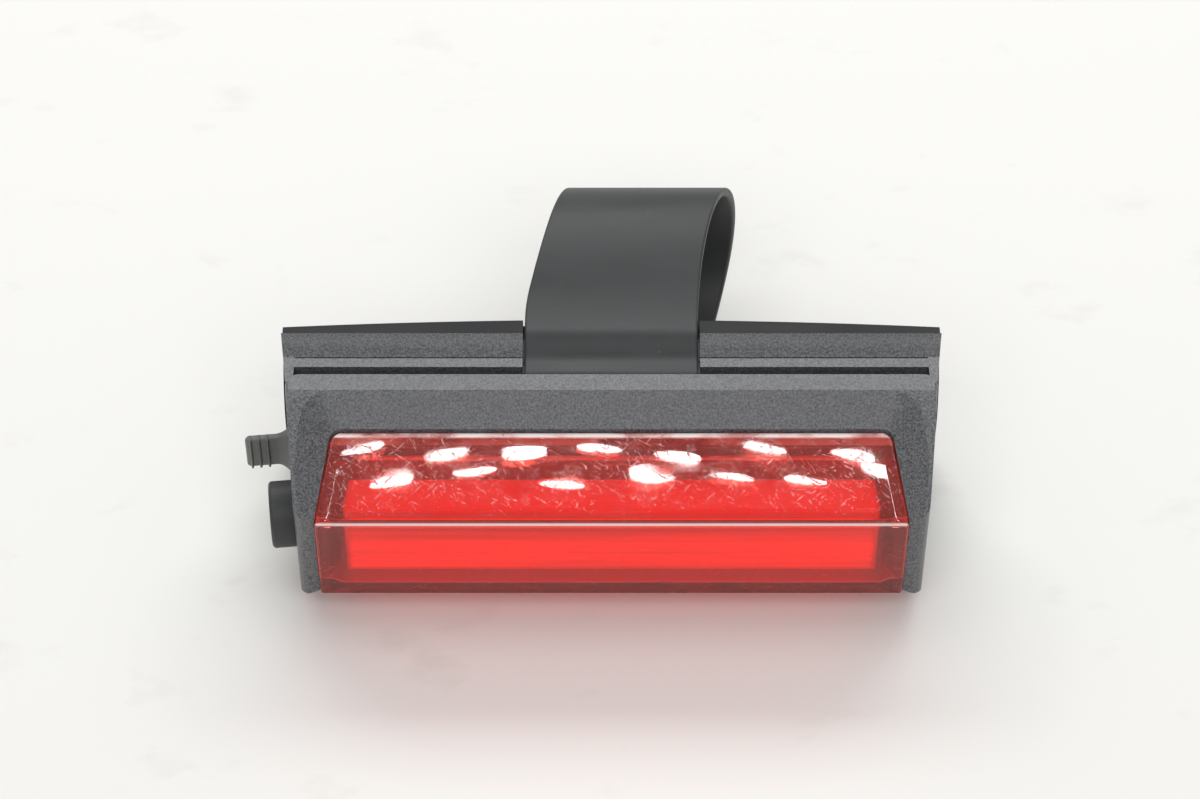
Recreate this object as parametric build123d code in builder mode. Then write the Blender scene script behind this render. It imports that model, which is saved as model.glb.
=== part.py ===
"""Bicycle rear light that straps to a 27.2 mm seatpost, as an assembly of separate pieces.

Frame: millimetres. The origin is on the seatpost's axis at the middle of the light's length, X runs along
the light, Y from the red lens back to the strap's loop, and Z across the light. Y is negative at the lens.
The light is modelled lying on its long side: its lower rim and the strap's lower run are the lowest points.
"""
import os
from math import atan2, copysign, cos, sin, sqrt, tan

from build123d import *

# Seatpost saddle
post_radius = 13.6
pad_wall = 1.45
glue_gap = 0.05
saddle_wall = 1.7
saddle_radius = post_radius + pad_wall + glue_gap

# Outer form of the front body, from the mid-plane out and from the front facet back
half_height = 15.2
half_length = 50.85
end_draft = 2.65
crease_height = 9.0
crown_bulge = 0.7
bezel_depth = 24.7
rim_depth = 3.8
bevel_depth = 4.9
bevel_rise = 3.6
end_corner = 2.2
end_chamfer = 0.5
rim_chamfer = 0.3

# Walls and general clearances
end_wall = 4.2
cover_wall = 1.2
rim_wall = 2.0
seat_gap = 0.1
overrun = 2.0

# Lens and the opening that it fills
lens_proud = 0.65
lens_crease_drop = 0.65
lens_sink = 0.55
lens_wall = 2.0
lens_lap = 1.7
lens_flange_wall = 0.95
opening_inset = 0.4
opening_crease_drop = 1.0
opening_end_margin = 5.65
opening_taper = 1.9
opening_corner = 1.9
opening_gap = 0.06
bevel_front_margin = 2.2
bevel_back_margin = 3.5
bevel_corner = 3.6
lens_flange_tail = 1.2

# Rear housing
waist_depth = 3.1
waist_inset = 4.1
ledge_inset = 2.2
ledge_depth = 2.1
flare_depth = 3.1
flare_sag = 0.3
foot_groove = 0.25
housing_overhang = 1.0
end_plate = 2.2
housing_wall = 1.5
housing_cavity_half = 8.0
cavity_end_margin = 10.0
spigot_depth = 1.8
spigot_wall = 2.2
spigot_flange = 0.35
seal_section = 0.6
seal_width = 1.0
seal_gap = 0.05

# Rubber pad
pad_lip = 1.7
pad_bow = 1.6
pad_end_margin = 0.2
pad_inset = 0.2

# Strap
strap_width = 27.2
strap_thickness = 1.4
strap_gap = 0.3
strap_lay_gap = 0.1
loop_rise = 3.4
loop_behind_post = 14.1
loop_skew = 7.5
skew_start = 6.5
skew_round = 30.0
hook_width = 1.6
hook_drop = 3.6
hook_round = 1.2
hook_front_gap = 0.9
hook_back_gap = 0.3
hinge_gap = 0.3
anchor_pin_radius = 0.5
anchor_pin_grip = 2.5
pin_gap = 0.03

# Power button and its switch
button_radius = 5.2
button_depth = 8.9
button_reach = 3.8
button_flange_margin = 0.8
button_flange_wall = 0.8
button_gap = 0.15
button_travel = 0.5
button_edge = 0.5
recess_depth = 0.3
recess_margin = 1.5
switch_half = 2.2
switch_length = 2.8
plunger_reach = 0.75
plunger_radius = 1.0
plunger_gap = 0.13
plunger_engagement = 0.5

# Charging port and its rubber cover
port_depth = 18.9
socket_half_width = 4.5
socket_height = 3.2
socket_length = 7.3
socket_wall = 0.3
socket_mouth = 1.6
tongue_half_width = 3.3
tongue_thickness = 0.7
tongue_length = 5.0
port_gap = 0.5
cover_front_depth = 14.9
cover_back_depth = 23.3
cover_half_width = 5.7
cover_plate = 0.9
cover_gap = 0.15
cover_plug = 0.7
plug_gap = 0.35
tab_edge_margin = 0.1
tab_corner = 0.5
cover_corner = 1.0
tab_length = 7.1
tab_thickness = 1.7
tab_half_width = 3.1
tab_root_flare = 2.4
rib_margin = 0.6
rib_width = 0.4
rib_height = 0.3
rib_count = 3
rib_pitch = 1.35

# Light engine
board_front_depth = 11.3
board_thickness = 1.2
led_board_end_margin = 2.85
tray_end_margin = 5.45
tray_wall = 0.8
tray_front_depth = 3.9
tray_floor_half = 3.6
guide_half_height = 5.0
guide_crown = 0.9
guide_depth = 3.0
guide_groove = 0.8
guide_groove_drop = 1.9
led_count = 12
led_length = 2.8
led_height = 3.5
led_thickness = 0.7
led_rim = 0.25
board_corner = 1.0
led_window_gap = 0.35
board_rib_height = 0.9
board_rib_thickness = 1.4

# Heat spreader, chassis, battery and main board
spreader_thickness = 1.0
spreader_overhang = 0.2
spreader_slot_length = 18.0
spreader_slot_width = 2.4
chassis_plate = 1.0
chassis_wall = 0.7
chassis_end_margin = 6.85
chassis_reach = 0.2
battery_length_share = 0.65
battery_thickness = 8.0
battery_corner = 1.4
battery_gap = 0.15
battery_end_margin = 1.2
foam_half_height = 3.6
foam_length_share = 0.8
main_board_thickness = 1.0
main_board_half_width = 6.2
main_board_tail = 2.5
main_board_margin = 0.7
post_boss_radius = 1.3
post_inset = 1.5
lead_radius = 0.45
lead_spacing = 4.0
lead_landing = 2.6

# Components on the main board, all as shares: place along the board and across its half width, then length,
# width and height in half widths, where a height below zero stands on the board's back face
component_shares = (
    (0.42, 0.0, 0.8, 0.8, 0.18),
    (0.62, 0.45, 0.52, 0.26, 0.13),
    (0.62, -0.45, 0.52, 0.26, 0.13),
    (0.75, 0.0, 0.65, 0.65, 0.29),
    (0.35, 0.0, 0.97, 0.8, -0.19),
    (0.6, 0.4, 0.45, 0.45, -0.16),
    (0.6, -0.45, 0.32, 0.21, -0.11),
    (0.78, 0.0, 0.65, 0.48, -0.26),
)

# Screws
screw_end_margin = 8.45
screw_z = 9.0
screw_radius = 0.95
screw_hole_gap = 0.15
screw_head_radius = 1.8
screw_head_height = 1.3
screw_grip = 7.6
screw_boss_radius = 2.15
screw_boss_web = 1.8
screw_boss_depth = 5.4
screw_seat_depth = 2.1
board_screw_radius = 0.6
board_screw_head_radius = 1.1
board_screw_head_height = 0.6
board_screw_length = 3.6
driver_slot = 0.4
driver_depth_share = 0.5

# Stations along Y, from the front facet back
post_axis_depth = bezel_depth + saddle_wall + saddle_radius
front_y = -post_axis_depth
bezel_back_y = front_y + bezel_depth
bevel_back_y = bezel_back_y - rim_depth
lens_back_y = bevel_back_y - bevel_depth
waist_back_y = bezel_back_y + waist_depth
ledge_back_y = waist_back_y + ledge_depth
housing_back_y = ledge_back_y + flare_depth
opening_front_y = front_y + opening_inset
lens_front_y = front_y - lens_proud
board_front_y = front_y + board_front_depth
board_back_y = board_front_y + board_thickness
spreader_back_y = board_back_y + spreader_thickness
chassis_floor_y = spreader_back_y + chassis_plate

# Heights out from the mid-plane, and the slopes of the opening's rim and of the lens
opening_crease = crease_height - opening_crease_drop
opening_top = half_height - bevel_rise
opening_depth = lens_back_y - opening_front_y
opening_slope = atan2(opening_top - opening_crease, opening_depth)
lens_crease = crease_height - lens_crease_drop
lens_slope = atan2(opening_top - lens_sink - lens_crease, lens_back_y - lens_front_y)
waist_height = half_height - waist_inset
ledge_height = half_height - ledge_inset

# Half lengths
inner_half_length = half_length - end_wall
housing_half = half_length + housing_overhang
opening_front_half = half_length - opening_end_margin
opening_back_half = opening_front_half - opening_taper
led_board_half_length = inner_half_length - led_board_end_margin
tray_half_length = inner_half_length - tray_end_margin
chassis_half_length = inner_half_length - chassis_end_margin
spreader_half_length = chassis_half_length + spreader_overhang
led_pitch = 2 * tray_half_length / (led_count + 1)
battery_length = 2 * chassis_half_length * battery_length_share

# Distances from the lens's outer faces in to its flange, and to the flange's inner face
flange_top = lens_lap + seat_gap / 2
lens_inner = flange_top + lens_flange_wall

# The light's left end leans outwards towards the back, and the cover and button stand square to it
cover_length = cover_back_depth - cover_front_depth
cover_mid_y = front_y + (cover_front_depth + cover_back_depth) / 2
port_y = front_y + port_depth
button_y = front_y + button_depth

# Places of the housing screws, and where the bezel's bosses end against the housing's
screw_x = half_length - screw_end_margin
screw_places = [(x, z) for x in (-screw_x, screw_x) for z in (-screw_z, screw_z)]
boss_back_y = bezel_back_y - spigot_depth - seat_gap

# Half width of the notches and pockets that the strap lies in
notch_half = strap_width / 2 + strap_gap


def half_length_at(y):
    """Half length of the bezel at a station, narrower towards the front facet."""
    return half_length - end_draft * (bezel_back_y - y) / bezel_depth


def end_plane(y):
    """Plane on the left end's face at a station, its normal pointing out of the light."""
    return Plane(
        origin=(-half_length_at(y), y, 0),
        x_dir=(-end_draft, bezel_depth, 0),
        z_dir=(-bezel_depth, -end_draft, 0),
    )


def lens_height_at(y, inset):
    """Height above the mid-plane of the lens's sloping face, moved inwards by an inset."""
    return lens_crease + (y - lens_front_y) * tan(lens_slope) - inset / cos(lens_slope)


def both_sides(upper):
    """Points of the upper half of an outline, followed by their mirror images below."""
    return upper + [(y, -z) for y, z in reversed(upper)]


def lens_outline(inset, back_y):
    """The lens's folded section, with every face moved inwards by an inset."""
    y = lens_front_y + inset
    return both_sides([(y, lens_height_at(y, inset)), (back_y, lens_height_at(back_y, inset))])


def block(x_range, y_range, z_range, mode=Mode.ADD):
    """A rectangular block between two limits along each direction."""
    centre = [sum(limits) / 2 for limits in (x_range, y_range, z_range)]
    sizes = [limits[1] - limits[0] for limits in (x_range, y_range, z_range)]
    with Locations(tuple(centre)):
        Box(*sizes, mode=mode)


cover_plane = end_plane(cover_mid_y)
port_plane = end_plane(port_y)
button_plane = end_plane(button_y)

# Front bezel: the shell that frames the lens and reaches round its front at both ends
with BuildPart() as front_bezel:
    with BuildSketch(Plane.YZ):
        with BuildLine():
            crown_y = (front_y + bevel_back_y) / 2
            crown_z = (crease_height + half_height) / 2 + crown_bulge
            ThreePointArc((front_y, crease_height), (crown_y, crown_z), (bevel_back_y, half_height))
            Polyline(
                (bevel_back_y, half_height),
                (bezel_back_y, half_height),
                (bezel_back_y, -half_height),
                (bevel_back_y, -half_height),
            )
            ThreePointArc((bevel_back_y, -half_height), (crown_y, -crown_z), (front_y, -crease_height))
            Line((front_y, -crease_height), (front_y, crease_height))
        make_face()
    extrude(amount=half_length, both=True)
    with BuildSketch(Plane.XY) as ends_outline:
        front_half = half_length - end_draft
        Polygon(
            (-front_half, front_y),
            (front_half, front_y),
            (half_length, bezel_back_y),
            (-half_length, bezel_back_y),
            align=None,
        )
        fillet(ends_outline.vertices(), radius=end_corner)
    extrude(amount=half_height, both=True, mode=Mode.INTERSECT)
    end_faces = front_bezel.faces().sort_by(Axis.X)
    end_edges = end_faces[0].edges() + end_faces[-1].edges()
    chamfer(end_edges.filter_by(Axis.Z, reverse=True), length=end_chamfer)
    back_rim = front_bezel.faces().sort_by(Axis.Y)[-1].outer_wire().edges()
    chamfer(back_rim, length=rim_chamfer)
    # Bevels that fall from the rim to the lens, above and below
    for side in (1, -1):
        slope_plane = Plane(
            origin=(0, opening_front_y, side * opening_crease),
            x_dir=(side, 0, 0),
            z_dir=(0, -sin(opening_slope), side * cos(opening_slope)),
        )
        opening_run = opening_depth / cos(opening_slope)
        rim_rise = half_height - opening_crease
        rim_back = bevel_back_y - opening_front_y
        rim_run = rim_back * cos(opening_slope) + rim_rise * sin(opening_slope)
        rim_lift = rim_rise * cos(opening_slope) - rim_back * sin(opening_slope)
        crease_lift = opening_crease_drop * cos(opening_slope) + opening_inset * sin(opening_slope)
        with BuildSketch(slope_plane) as lower_outline:
            Polygon(
                (-opening_front_half, -overrun),
                (opening_front_half, -overrun),
                (opening_back_half, opening_run),
                (-opening_back_half, opening_run),
                align=None,
            )
            fillet(lower_outline.vertices().group_by(Axis.Y)[-1], radius=opening_corner)
        # The outer outline is carried on past the rim, to twice the bevel's rise
        with BuildSketch(slope_plane.offset(2 * rim_lift)) as upper_outline:
            outer_front = opening_front_half + 2 * rim_lift * bevel_front_margin / crease_lift
            outer_back = opening_back_half + 2 * bevel_back_margin
            outer_run = opening_run + 2 * (rim_run - opening_run)
            Polygon(
                (-outer_front, -overrun),
                (outer_front, -overrun),
                (outer_back, outer_run),
                (-outer_back, outer_run),
                align=None,
            )
            fillet(upper_outline.vertices().group_by(Axis.Y)[-1], radius=2 * bevel_corner)
        loft(mode=Mode.SUBTRACT)
    # Opening for the lens, through the front and both slopes
    with BuildSketch(Plane.XY) as opening_outline:
        Polygon(
            (-opening_front_half, front_y - overrun),
            (opening_front_half, front_y - overrun),
            (opening_front_half, opening_front_y),
            (opening_back_half, lens_back_y),
            (-opening_back_half, lens_back_y),
            (-opening_front_half, opening_front_y),
            align=None,
        )
        fillet(opening_outline.vertices().group_by(Axis.Y)[-1], radius=opening_corner)
    extrude(amount=half_height, both=True, mode=Mode.SUBTRACT)
    # Hollow behind the lens, open at the back
    with BuildSketch(Plane.YZ):
        Polygon(
            *both_sides([
                (lens_front_y + lens_lap, lens_height_at(lens_front_y + lens_lap, lens_lap)),
                (lens_back_y, lens_height_at(lens_back_y, lens_lap)),
                (bevel_back_y, half_height - rim_wall),
                (bezel_back_y + overrun, half_height - rim_wall),
            ]),
            align=None,
        )
    extrude(amount=inner_half_length, both=True, mode=Mode.SUBTRACT)
    # Ribs that the light board's corners sit on
    rib_top = lens_height_at(board_front_y - board_rib_thickness, lens_inner) - seat_gap
    for x_side in (1, -1):
        for z_side in (1, -1):
            x_far = x_side * (inner_half_length + seat_gap)
            x_near = x_side * (led_board_half_length - board_rib_height)
            z_far = z_side * rib_top
            z_near = z_side * (rib_top - board_rib_height)
            block(
                sorted((x_far, x_near)),
                (board_front_y - board_rib_thickness, board_front_y),
                sorted((z_far, z_near)),
            )
    # Screw bosses, joined to the rim bars
    with BuildSketch(Plane.XZ.offset(-boss_back_y)):
        with Locations(*screw_places):
            Circle(screw_boss_radius)
        with Locations(*[(x, z + copysign(screw_boss_web, z)) for x, z in screw_places]):
            Rectangle(2 * screw_boss_radius, 2 * screw_boss_web)
    extrude(amount=screw_boss_depth)
    with BuildSketch(Plane.XZ.offset(-boss_back_y)):
        with Locations(*screw_places):
            Circle(screw_radius)
    extrude(amount=screw_boss_depth - cover_wall, mode=Mode.SUBTRACT)
    # Port for charging, with a flat recess for its cover, and the power button's hole
    with BuildSketch(cover_plane):
        RectangleRounded(cover_length + 2 * cover_gap, 2 * (cover_half_width + cover_gap), cover_corner)
    extrude(amount=-(cover_plate + seat_gap), mode=Mode.SUBTRACT)
    with BuildSketch(port_plane):
        RectangleRounded(
            socket_height + 2 * port_gap,
            2 * (socket_half_width + port_gap),
            socket_height / 2,
        )
    extrude(amount=-(end_wall + overrun), mode=Mode.SUBTRACT)
    with BuildSketch(button_plane):
        Circle(button_radius + button_gap)
    extrude(amount=-(end_wall + seat_gap), mode=Mode.SUBTRACT)

front_bezel.part.label = "front_bezel"

# Lens: one folded transparent moulding with a thinner flange that laps under the bezel
with BuildPart() as lens:
    with BuildSketch(Plane.YZ):
        Polygon(*lens_outline(0, lens_back_y - opening_gap), align=None)
    extrude(amount=opening_front_half, both=True)
    with BuildSketch(Plane.XY) as window_outline:
        window_front = opening_front_half - opening_gap
        window_back = opening_back_half - opening_gap
        Polygon(
            (-window_front, lens_front_y),
            (window_front, lens_front_y),
            (window_front, opening_front_y),
            (window_back, lens_back_y),
            (-window_back, lens_back_y),
            (-window_front, opening_front_y),
            align=None,
        )
        fillet(window_outline.vertices().group_by(Axis.Y)[-1], radius=opening_corner)
    extrude(amount=half_height, both=True, mode=Mode.INTERSECT)
    with BuildSketch(Plane.YZ):
        Polygon(*lens_outline(flange_top, lens_back_y + lens_flange_tail), align=None)
    extrude(amount=inner_half_length - seat_gap, both=True)
    with BuildSketch(Plane.YZ):
        Polygon(*lens_outline(lens_inner, bezel_back_y), align=None)
    extrude(amount=half_length, both=True, mode=Mode.SUBTRACT)
    # The window itself is thinner than the step that the flange stands on
    with BuildSketch(Plane.YZ):
        Polygon(*lens_outline(lens_wall, lens_back_y - lens_wall), align=None)
    extrude(amount=window_back - lens_wall, both=True, mode=Mode.SUBTRACT)

lens.part.label = "lens"

# Rear housing: waist, ledge, flared wings and the saddle groove for the seatpost
flare_mid_y = (ledge_back_y + housing_back_y) / 2
flare_mid_height = (ledge_height + half_height) / 2 - flare_sag
with BuildPart() as rear_housing:
    with BuildSketch(Plane.YZ):
        with BuildLine():
            for side in (1, -1):
                Polyline(
                    (bezel_back_y, 0),
                    (bezel_back_y, side * waist_height),
                    (waist_back_y, side * waist_height),
                    (waist_back_y, side * ledge_height),
                    (ledge_back_y - foot_groove, side * ledge_height),
                    (ledge_back_y - foot_groove, side * (ledge_height - foot_groove)),
                    (ledge_back_y, side * (ledge_height - foot_groove)),
                    (ledge_back_y, side * ledge_height),
                )
                ThreePointArc(
                    (ledge_back_y, side * ledge_height),
                    (flare_mid_y, side * flare_mid_height),
                    (housing_back_y, side * half_height),
                )
                Line((housing_back_y, side * half_height), (housing_back_y, 0))
        make_face()
    extrude(amount=housing_half + overrun, both=True)
    # End plates close the groove between bezel and ledge
    for x_side in (1, -1):
        block(
            sorted((x_side * (housing_half - end_plate), x_side * (housing_half + overrun))),
            (bezel_back_y, ledge_back_y),
            (-ledge_height, ledge_height),
        )
    with BuildSketch(Plane.XY):
        Polygon(
            (-half_length, bezel_back_y),
            (half_length, bezel_back_y),
            (housing_half, housing_back_y),
            (-housing_half, housing_back_y),
            align=None,
        )
    extrude(amount=half_height, both=True, mode=Mode.INTERSECT)
    # Spigot that enters the bezel, and the flange that the seal stands against
    spigot_half = inner_half_length - seat_gap
    spigot_height = half_height - rim_wall - seat_gap
    with BuildSketch(Plane.XZ.offset(-bezel_back_y)):
        Rectangle(2 * spigot_half, 2 * spigot_height)
    extrude(amount=spigot_flange)
    with BuildSketch(Plane.XZ.offset(-bezel_back_y)):
        Rectangle(2 * (spigot_half - seal_section), 2 * (spigot_height - seal_section))
    extrude(amount=spigot_depth)
    with BuildSketch(Plane.XZ.offset(-bezel_back_y)):
        Rectangle(
            2 * (spigot_half - seal_section - spigot_wall),
            2 * (spigot_height - seal_section - spigot_wall),
        )
    extrude(amount=spigot_depth, mode=Mode.SUBTRACT)
    with BuildSketch(Plane.XZ.offset(-bezel_back_y)):
        with Locations(*screw_places):
            Circle(screw_boss_radius)
    extrude(amount=spigot_depth)
    # Saddle groove along the whole back
    with BuildSketch(Plane.YZ):
        Circle(saddle_radius)
    extrude(amount=housing_half + overrun, both=True, mode=Mode.SUBTRACT)
    # Inner hollow that follows the groove
    with BuildSketch(Plane.YZ):
        hollow_back_y = -sqrt((saddle_radius + housing_wall) ** 2 - housing_cavity_half**2)
        with BuildLine():
            Polyline(
                (hollow_back_y, housing_cavity_half),
                (bezel_back_y, housing_cavity_half),
                (bezel_back_y, -housing_cavity_half),
                (hollow_back_y, -housing_cavity_half),
            )
            ThreePointArc(
                (hollow_back_y, -housing_cavity_half),
                (-(saddle_radius + housing_wall), 0),
                (hollow_back_y, housing_cavity_half),
            )
        make_face()
    extrude(amount=housing_half - cavity_end_margin, both=True, mode=Mode.SUBTRACT)
    # Notches that let the strap lie flush, each with a pocket for the strap's lip
    floor_ledge = ledge_height - strap_thickness - strap_lay_gap
    floor_wing = half_height - strap_thickness - strap_lay_gap
    lip_front_y = waist_back_y - hook_back_gap - hook_width
    for side in (1, -1):
        with BuildSketch(Plane.YZ):
            Polygon(
                (bezel_back_y + seat_gap, side * half_height),
                (bezel_back_y + seat_gap, side * waist_height),
                (lip_front_y - hook_front_gap, side * waist_height),
                (lip_front_y - hook_front_gap, side * (ledge_height - hook_drop - strap_gap)),
                (waist_back_y, side * (ledge_height - hook_drop - strap_gap)),
                (waist_back_y, side * floor_ledge),
                (ledge_back_y, side * floor_ledge),
                (housing_back_y, side * floor_wing),
                (housing_back_y + overrun, side * floor_wing),
                (housing_back_y + overrun, side * (half_height + overrun)),
                (bezel_back_y + seat_gap, side * (half_height + overrun)),
                align=None,
            )
        extrude(amount=notch_half, both=True, mode=Mode.SUBTRACT)
    # Holes for the anchor pin at the lower pocket
    with BuildSketch(Plane.YZ):
        with Locations((lip_front_y + hook_width / 2, -(ledge_height - hook_drop + hook_width / 2))):
            Circle(anchor_pin_radius + pin_gap)
    extrude(amount=notch_half + anchor_pin_grip, both=True, mode=Mode.SUBTRACT)
    # Screw holes with flat seats sunk into the groove
    with BuildSketch(Plane.XZ.offset(-(bezel_back_y + screw_seat_depth))):
        with Locations(*screw_places):
            Circle(screw_head_radius + screw_hole_gap)
    extrude(amount=-(housing_back_y - bezel_back_y), mode=Mode.SUBTRACT)
    with BuildSketch(Plane.XZ.offset(-(bezel_back_y + screw_seat_depth))):
        with Locations(*screw_places):
            Circle(screw_radius + screw_hole_gap)
    extrude(amount=screw_seat_depth + spigot_depth, mode=Mode.SUBTRACT)

rear_housing.part.label = "rear_housing"

# Seal round the spigot
with BuildPart() as rear_seal:
    with BuildSketch(Plane.XZ.offset(-(bezel_back_y - spigot_flange))):
        RectangleRounded(2 * spigot_half, 2 * spigot_height, seal_section)
        Rectangle(
            2 * (spigot_half - seal_section + seal_gap),
            2 * (spigot_height - seal_section + seal_gap),
            mode=Mode.SUBTRACT,
        )
    extrude(amount=seal_width)

rear_seal.part.label = "rear_seal"

# Rubber pad that lines the saddle groove, with lips behind the wings
with BuildPart() as mount_pad:
    pad_half = housing_half - pad_end_margin
    pad_start_y = housing_back_y + glue_gap
    pad_end_y = housing_back_y + pad_lip
    pad_tip_y = pad_end_y + pad_bow
    with BuildSketch(Plane.YZ):
        Circle(post_radius + pad_wall)
        with Locations(((pad_start_y + pad_tip_y) / 2, 0)):
            Rectangle(pad_tip_y - pad_start_y, 2 * (half_height - pad_inset))
        Circle(post_radius, mode=Mode.SUBTRACT)
        with Locations(((pad_tip_y - saddle_radius) / 2, 0)):
            Rectangle(pad_tip_y + saddle_radius, 2 * half_height, mode=Mode.INTERSECT)
    extrude(amount=pad_half, both=True)
    with BuildSketch(Plane.XY):
        with BuildLine():
            Polyline(
                (-pad_half, pad_end_y),
                (-pad_half, -saddle_radius),
                (pad_half, -saddle_radius),
                (pad_half, pad_end_y),
            )
            ThreePointArc((pad_half, pad_end_y), (0, pad_tip_y), (-pad_half, pad_end_y))
        make_face()
    extrude(amount=half_height, both=True, mode=Mode.INTERSECT)
    # The lips step down where the strap passes over them
    for z_range in ((floor_wing, half_height), (-half_height, -floor_wing)):
        block((-notch_half, notch_half), (housing_back_y, pad_tip_y), z_range, Mode.SUBTRACT)

mount_pad.part.label = "mount_pad"

# Path of the strap round its loop
loop_y = loop_behind_post
loop_top = half_height + loop_rise
loop_back_y = loop_y + half_height + loop_rise / 2


def strap_profile(depth, corner):
    """Side view of the strap's outer face moved inwards by a depth, closed at the lips."""
    front = lip_front_y + depth / strap_thickness * hook_width
    ledge = ledge_height - depth
    wing = half_height - depth
    with BuildSketch(Plane.YZ) as profile:
        with BuildLine():
            Polyline(
                (front, -ledge),
                (front, ledge),
                (ledge_back_y, ledge),
                (housing_back_y, wing),
            )
            climb = (loop_y - housing_back_y) / 2, loop_rise / 2
            halfway = housing_back_y + climb[0], wing + climb[1]
            TangentArc((housing_back_y, wing), halfway, tangent=(1, 0))
            TangentArc((loop_y, loop_top - depth), halfway, tangent=(-1, 0))
            ThreePointArc((loop_y, loop_top - depth), (loop_back_y - depth, loop_rise / 2), (loop_y, -wing))
            Polyline((loop_y, -wing), (housing_back_y, -wing), (ledge_back_y, -ledge), (front, -ledge))
        make_face()
        if corner:
            fillet(profile.vertices().group_by(Axis.X)[0], radius=corner)
    return profile.sketch


def strap_plan():
    """The strap seen from above: straight in the notch, then leaning over in the loop."""
    half = strap_width / 2
    left_start = housing_back_y + skew_start
    with BuildSketch(Plane.XY) as plan:
        with BuildLine():
            Polyline(
                (-half, left_start),
                (-half, lip_front_y),
                (half, lip_front_y),
                (half, housing_back_y),
            )
            TangentArc((half, housing_back_y), (loop_skew + half, loop_back_y), tangent=(0, 1))
            Polyline((loop_skew + half, loop_back_y), (loop_skew - half, loop_back_y), (-half, left_start))
        make_face()
        fillet(plan.vertices().group_by(Axis.X)[0].sort_by(Axis.Y)[-1], radius=skew_round)
    return plan.sketch


def strap_solid():
    """The strap in one piece: its side view carried across its width, inside its outline from above."""
    reach = strap_width + loop_skew
    extrude(strap_profile(0, hook_round), amount=reach, both=True)
    extrude(strap_profile(strap_thickness, 0), amount=reach + overrun, both=True, mode=Mode.SUBTRACT)
    lip_inside = ledge_height - hook_drop
    block(
        (-reach - overrun, reach + overrun),
        (lip_front_y - overrun, lip_front_y + hook_width + overrun),
        (-lip_inside, lip_inside),
        Mode.SUBTRACT,
    )
    extrude(strap_plan(), amount=loop_top, both=True, mode=Mode.INTERSECT)


# Strap: the lower run, fixed in the housing, and the bend of the loop
with BuildPart() as strap:
    strap_solid()
    block(
        (-strap_width - loop_skew, strap_width + loop_skew),
        (lip_front_y - overrun, loop_y),
        (0, loop_top + overrun),
        Mode.SUBTRACT,
    )
    with BuildSketch(Plane.YZ):
        with Locations((lip_front_y + hook_width / 2, -(ledge_height - hook_drop + hook_width / 2))):
            Circle(anchor_pin_radius + pin_gap)
    extrude(amount=strap_width, both=True, mode=Mode.SUBTRACT)

strap.part.label = "strap"

# Free end of the strap: the upper run and the lip that catches on the ledge
with BuildPart() as strap_free_end:
    strap_solid()
    block(
        (-strap_width - loop_skew, strap_width + loop_skew),
        (loop_y - hinge_gap, loop_back_y + overrun),
        (-loop_top - overrun, loop_top + overrun),
        Mode.SUBTRACT,
    )
    block(
        (-strap_width - loop_skew, strap_width + loop_skew),
        (lip_front_y - overrun, loop_back_y + overrun),
        (-loop_top - overrun, 0),
        Mode.SUBTRACT,
    )

strap_free_end.part.label = "strap_free_end"

# Pin that holds the strap's fixed end in the lower pocket
with BuildPart() as strap_anchor_pin:
    with BuildSketch(Plane.YZ):
        with Locations((lip_front_y + hook_width / 2, -(ledge_height - hook_drop + hook_width / 2))):
            Circle(anchor_pin_radius)
    extrude(amount=notch_half + anchor_pin_grip - seat_gap, both=True)

strap_anchor_pin.part.label = "strap_anchor_pin"

# Power button: a round cap with a recessed face and a flange inside the wall
end_run = sqrt(bezel_depth**2 + end_draft**2)
wall_run = (half_length_at(button_y) - inner_half_length) * bezel_depth / end_run
flange_radius = button_radius + button_flange_margin
flange_lean = flange_radius * end_draft / bezel_depth
flange_start = wall_run + flange_lean + seat_gap
with BuildPart() as power_button:
    with BuildSketch(button_plane.offset(button_reach)):
        Circle(button_radius)
    extrude(amount=-(button_reach + flange_start))
    chamfer(power_button.edges().sort_by(Axis.X)[0], length=button_edge)
    with BuildSketch(button_plane.offset(-flange_start)):
        Circle(flange_radius)
    extrude(amount=-button_flange_wall)
    with BuildSketch(button_plane.offset(button_reach)):
        Circle(button_radius - recess_margin)
    extrude(amount=-recess_depth, mode=Mode.SUBTRACT)

power_button.part.label = "power_button"

# Side switch behind the button
plunger_tip_x = -half_length_at(button_y) + flange_start + button_flange_wall
switch_front_x = plunger_tip_x + plunger_reach
switch_back_x = switch_front_x + switch_length
with BuildPart() as switch_body:
    block(
        (switch_front_x, switch_back_x),
        (button_y - switch_half, board_front_y),
        (-switch_half, switch_half),
    )
    with BuildSketch(Plane.YZ.offset(switch_front_x)):
        with Locations((button_y, 0)):
            Circle(plunger_radius + plunger_gap)
    extrude(amount=plunger_engagement + button_travel + plunger_gap, mode=Mode.SUBTRACT)

switch_body.part.label = "switch_body"

with BuildPart() as switch_plunger:
    with BuildSketch(Plane.YZ.offset(plunger_tip_x + plunger_gap)):
        with Locations((button_y, 0)):
            Circle(plunger_radius)
    extrude(amount=plunger_reach - plunger_gap + plunger_engagement)

switch_plunger.part.label = "switch_plunger"

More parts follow.
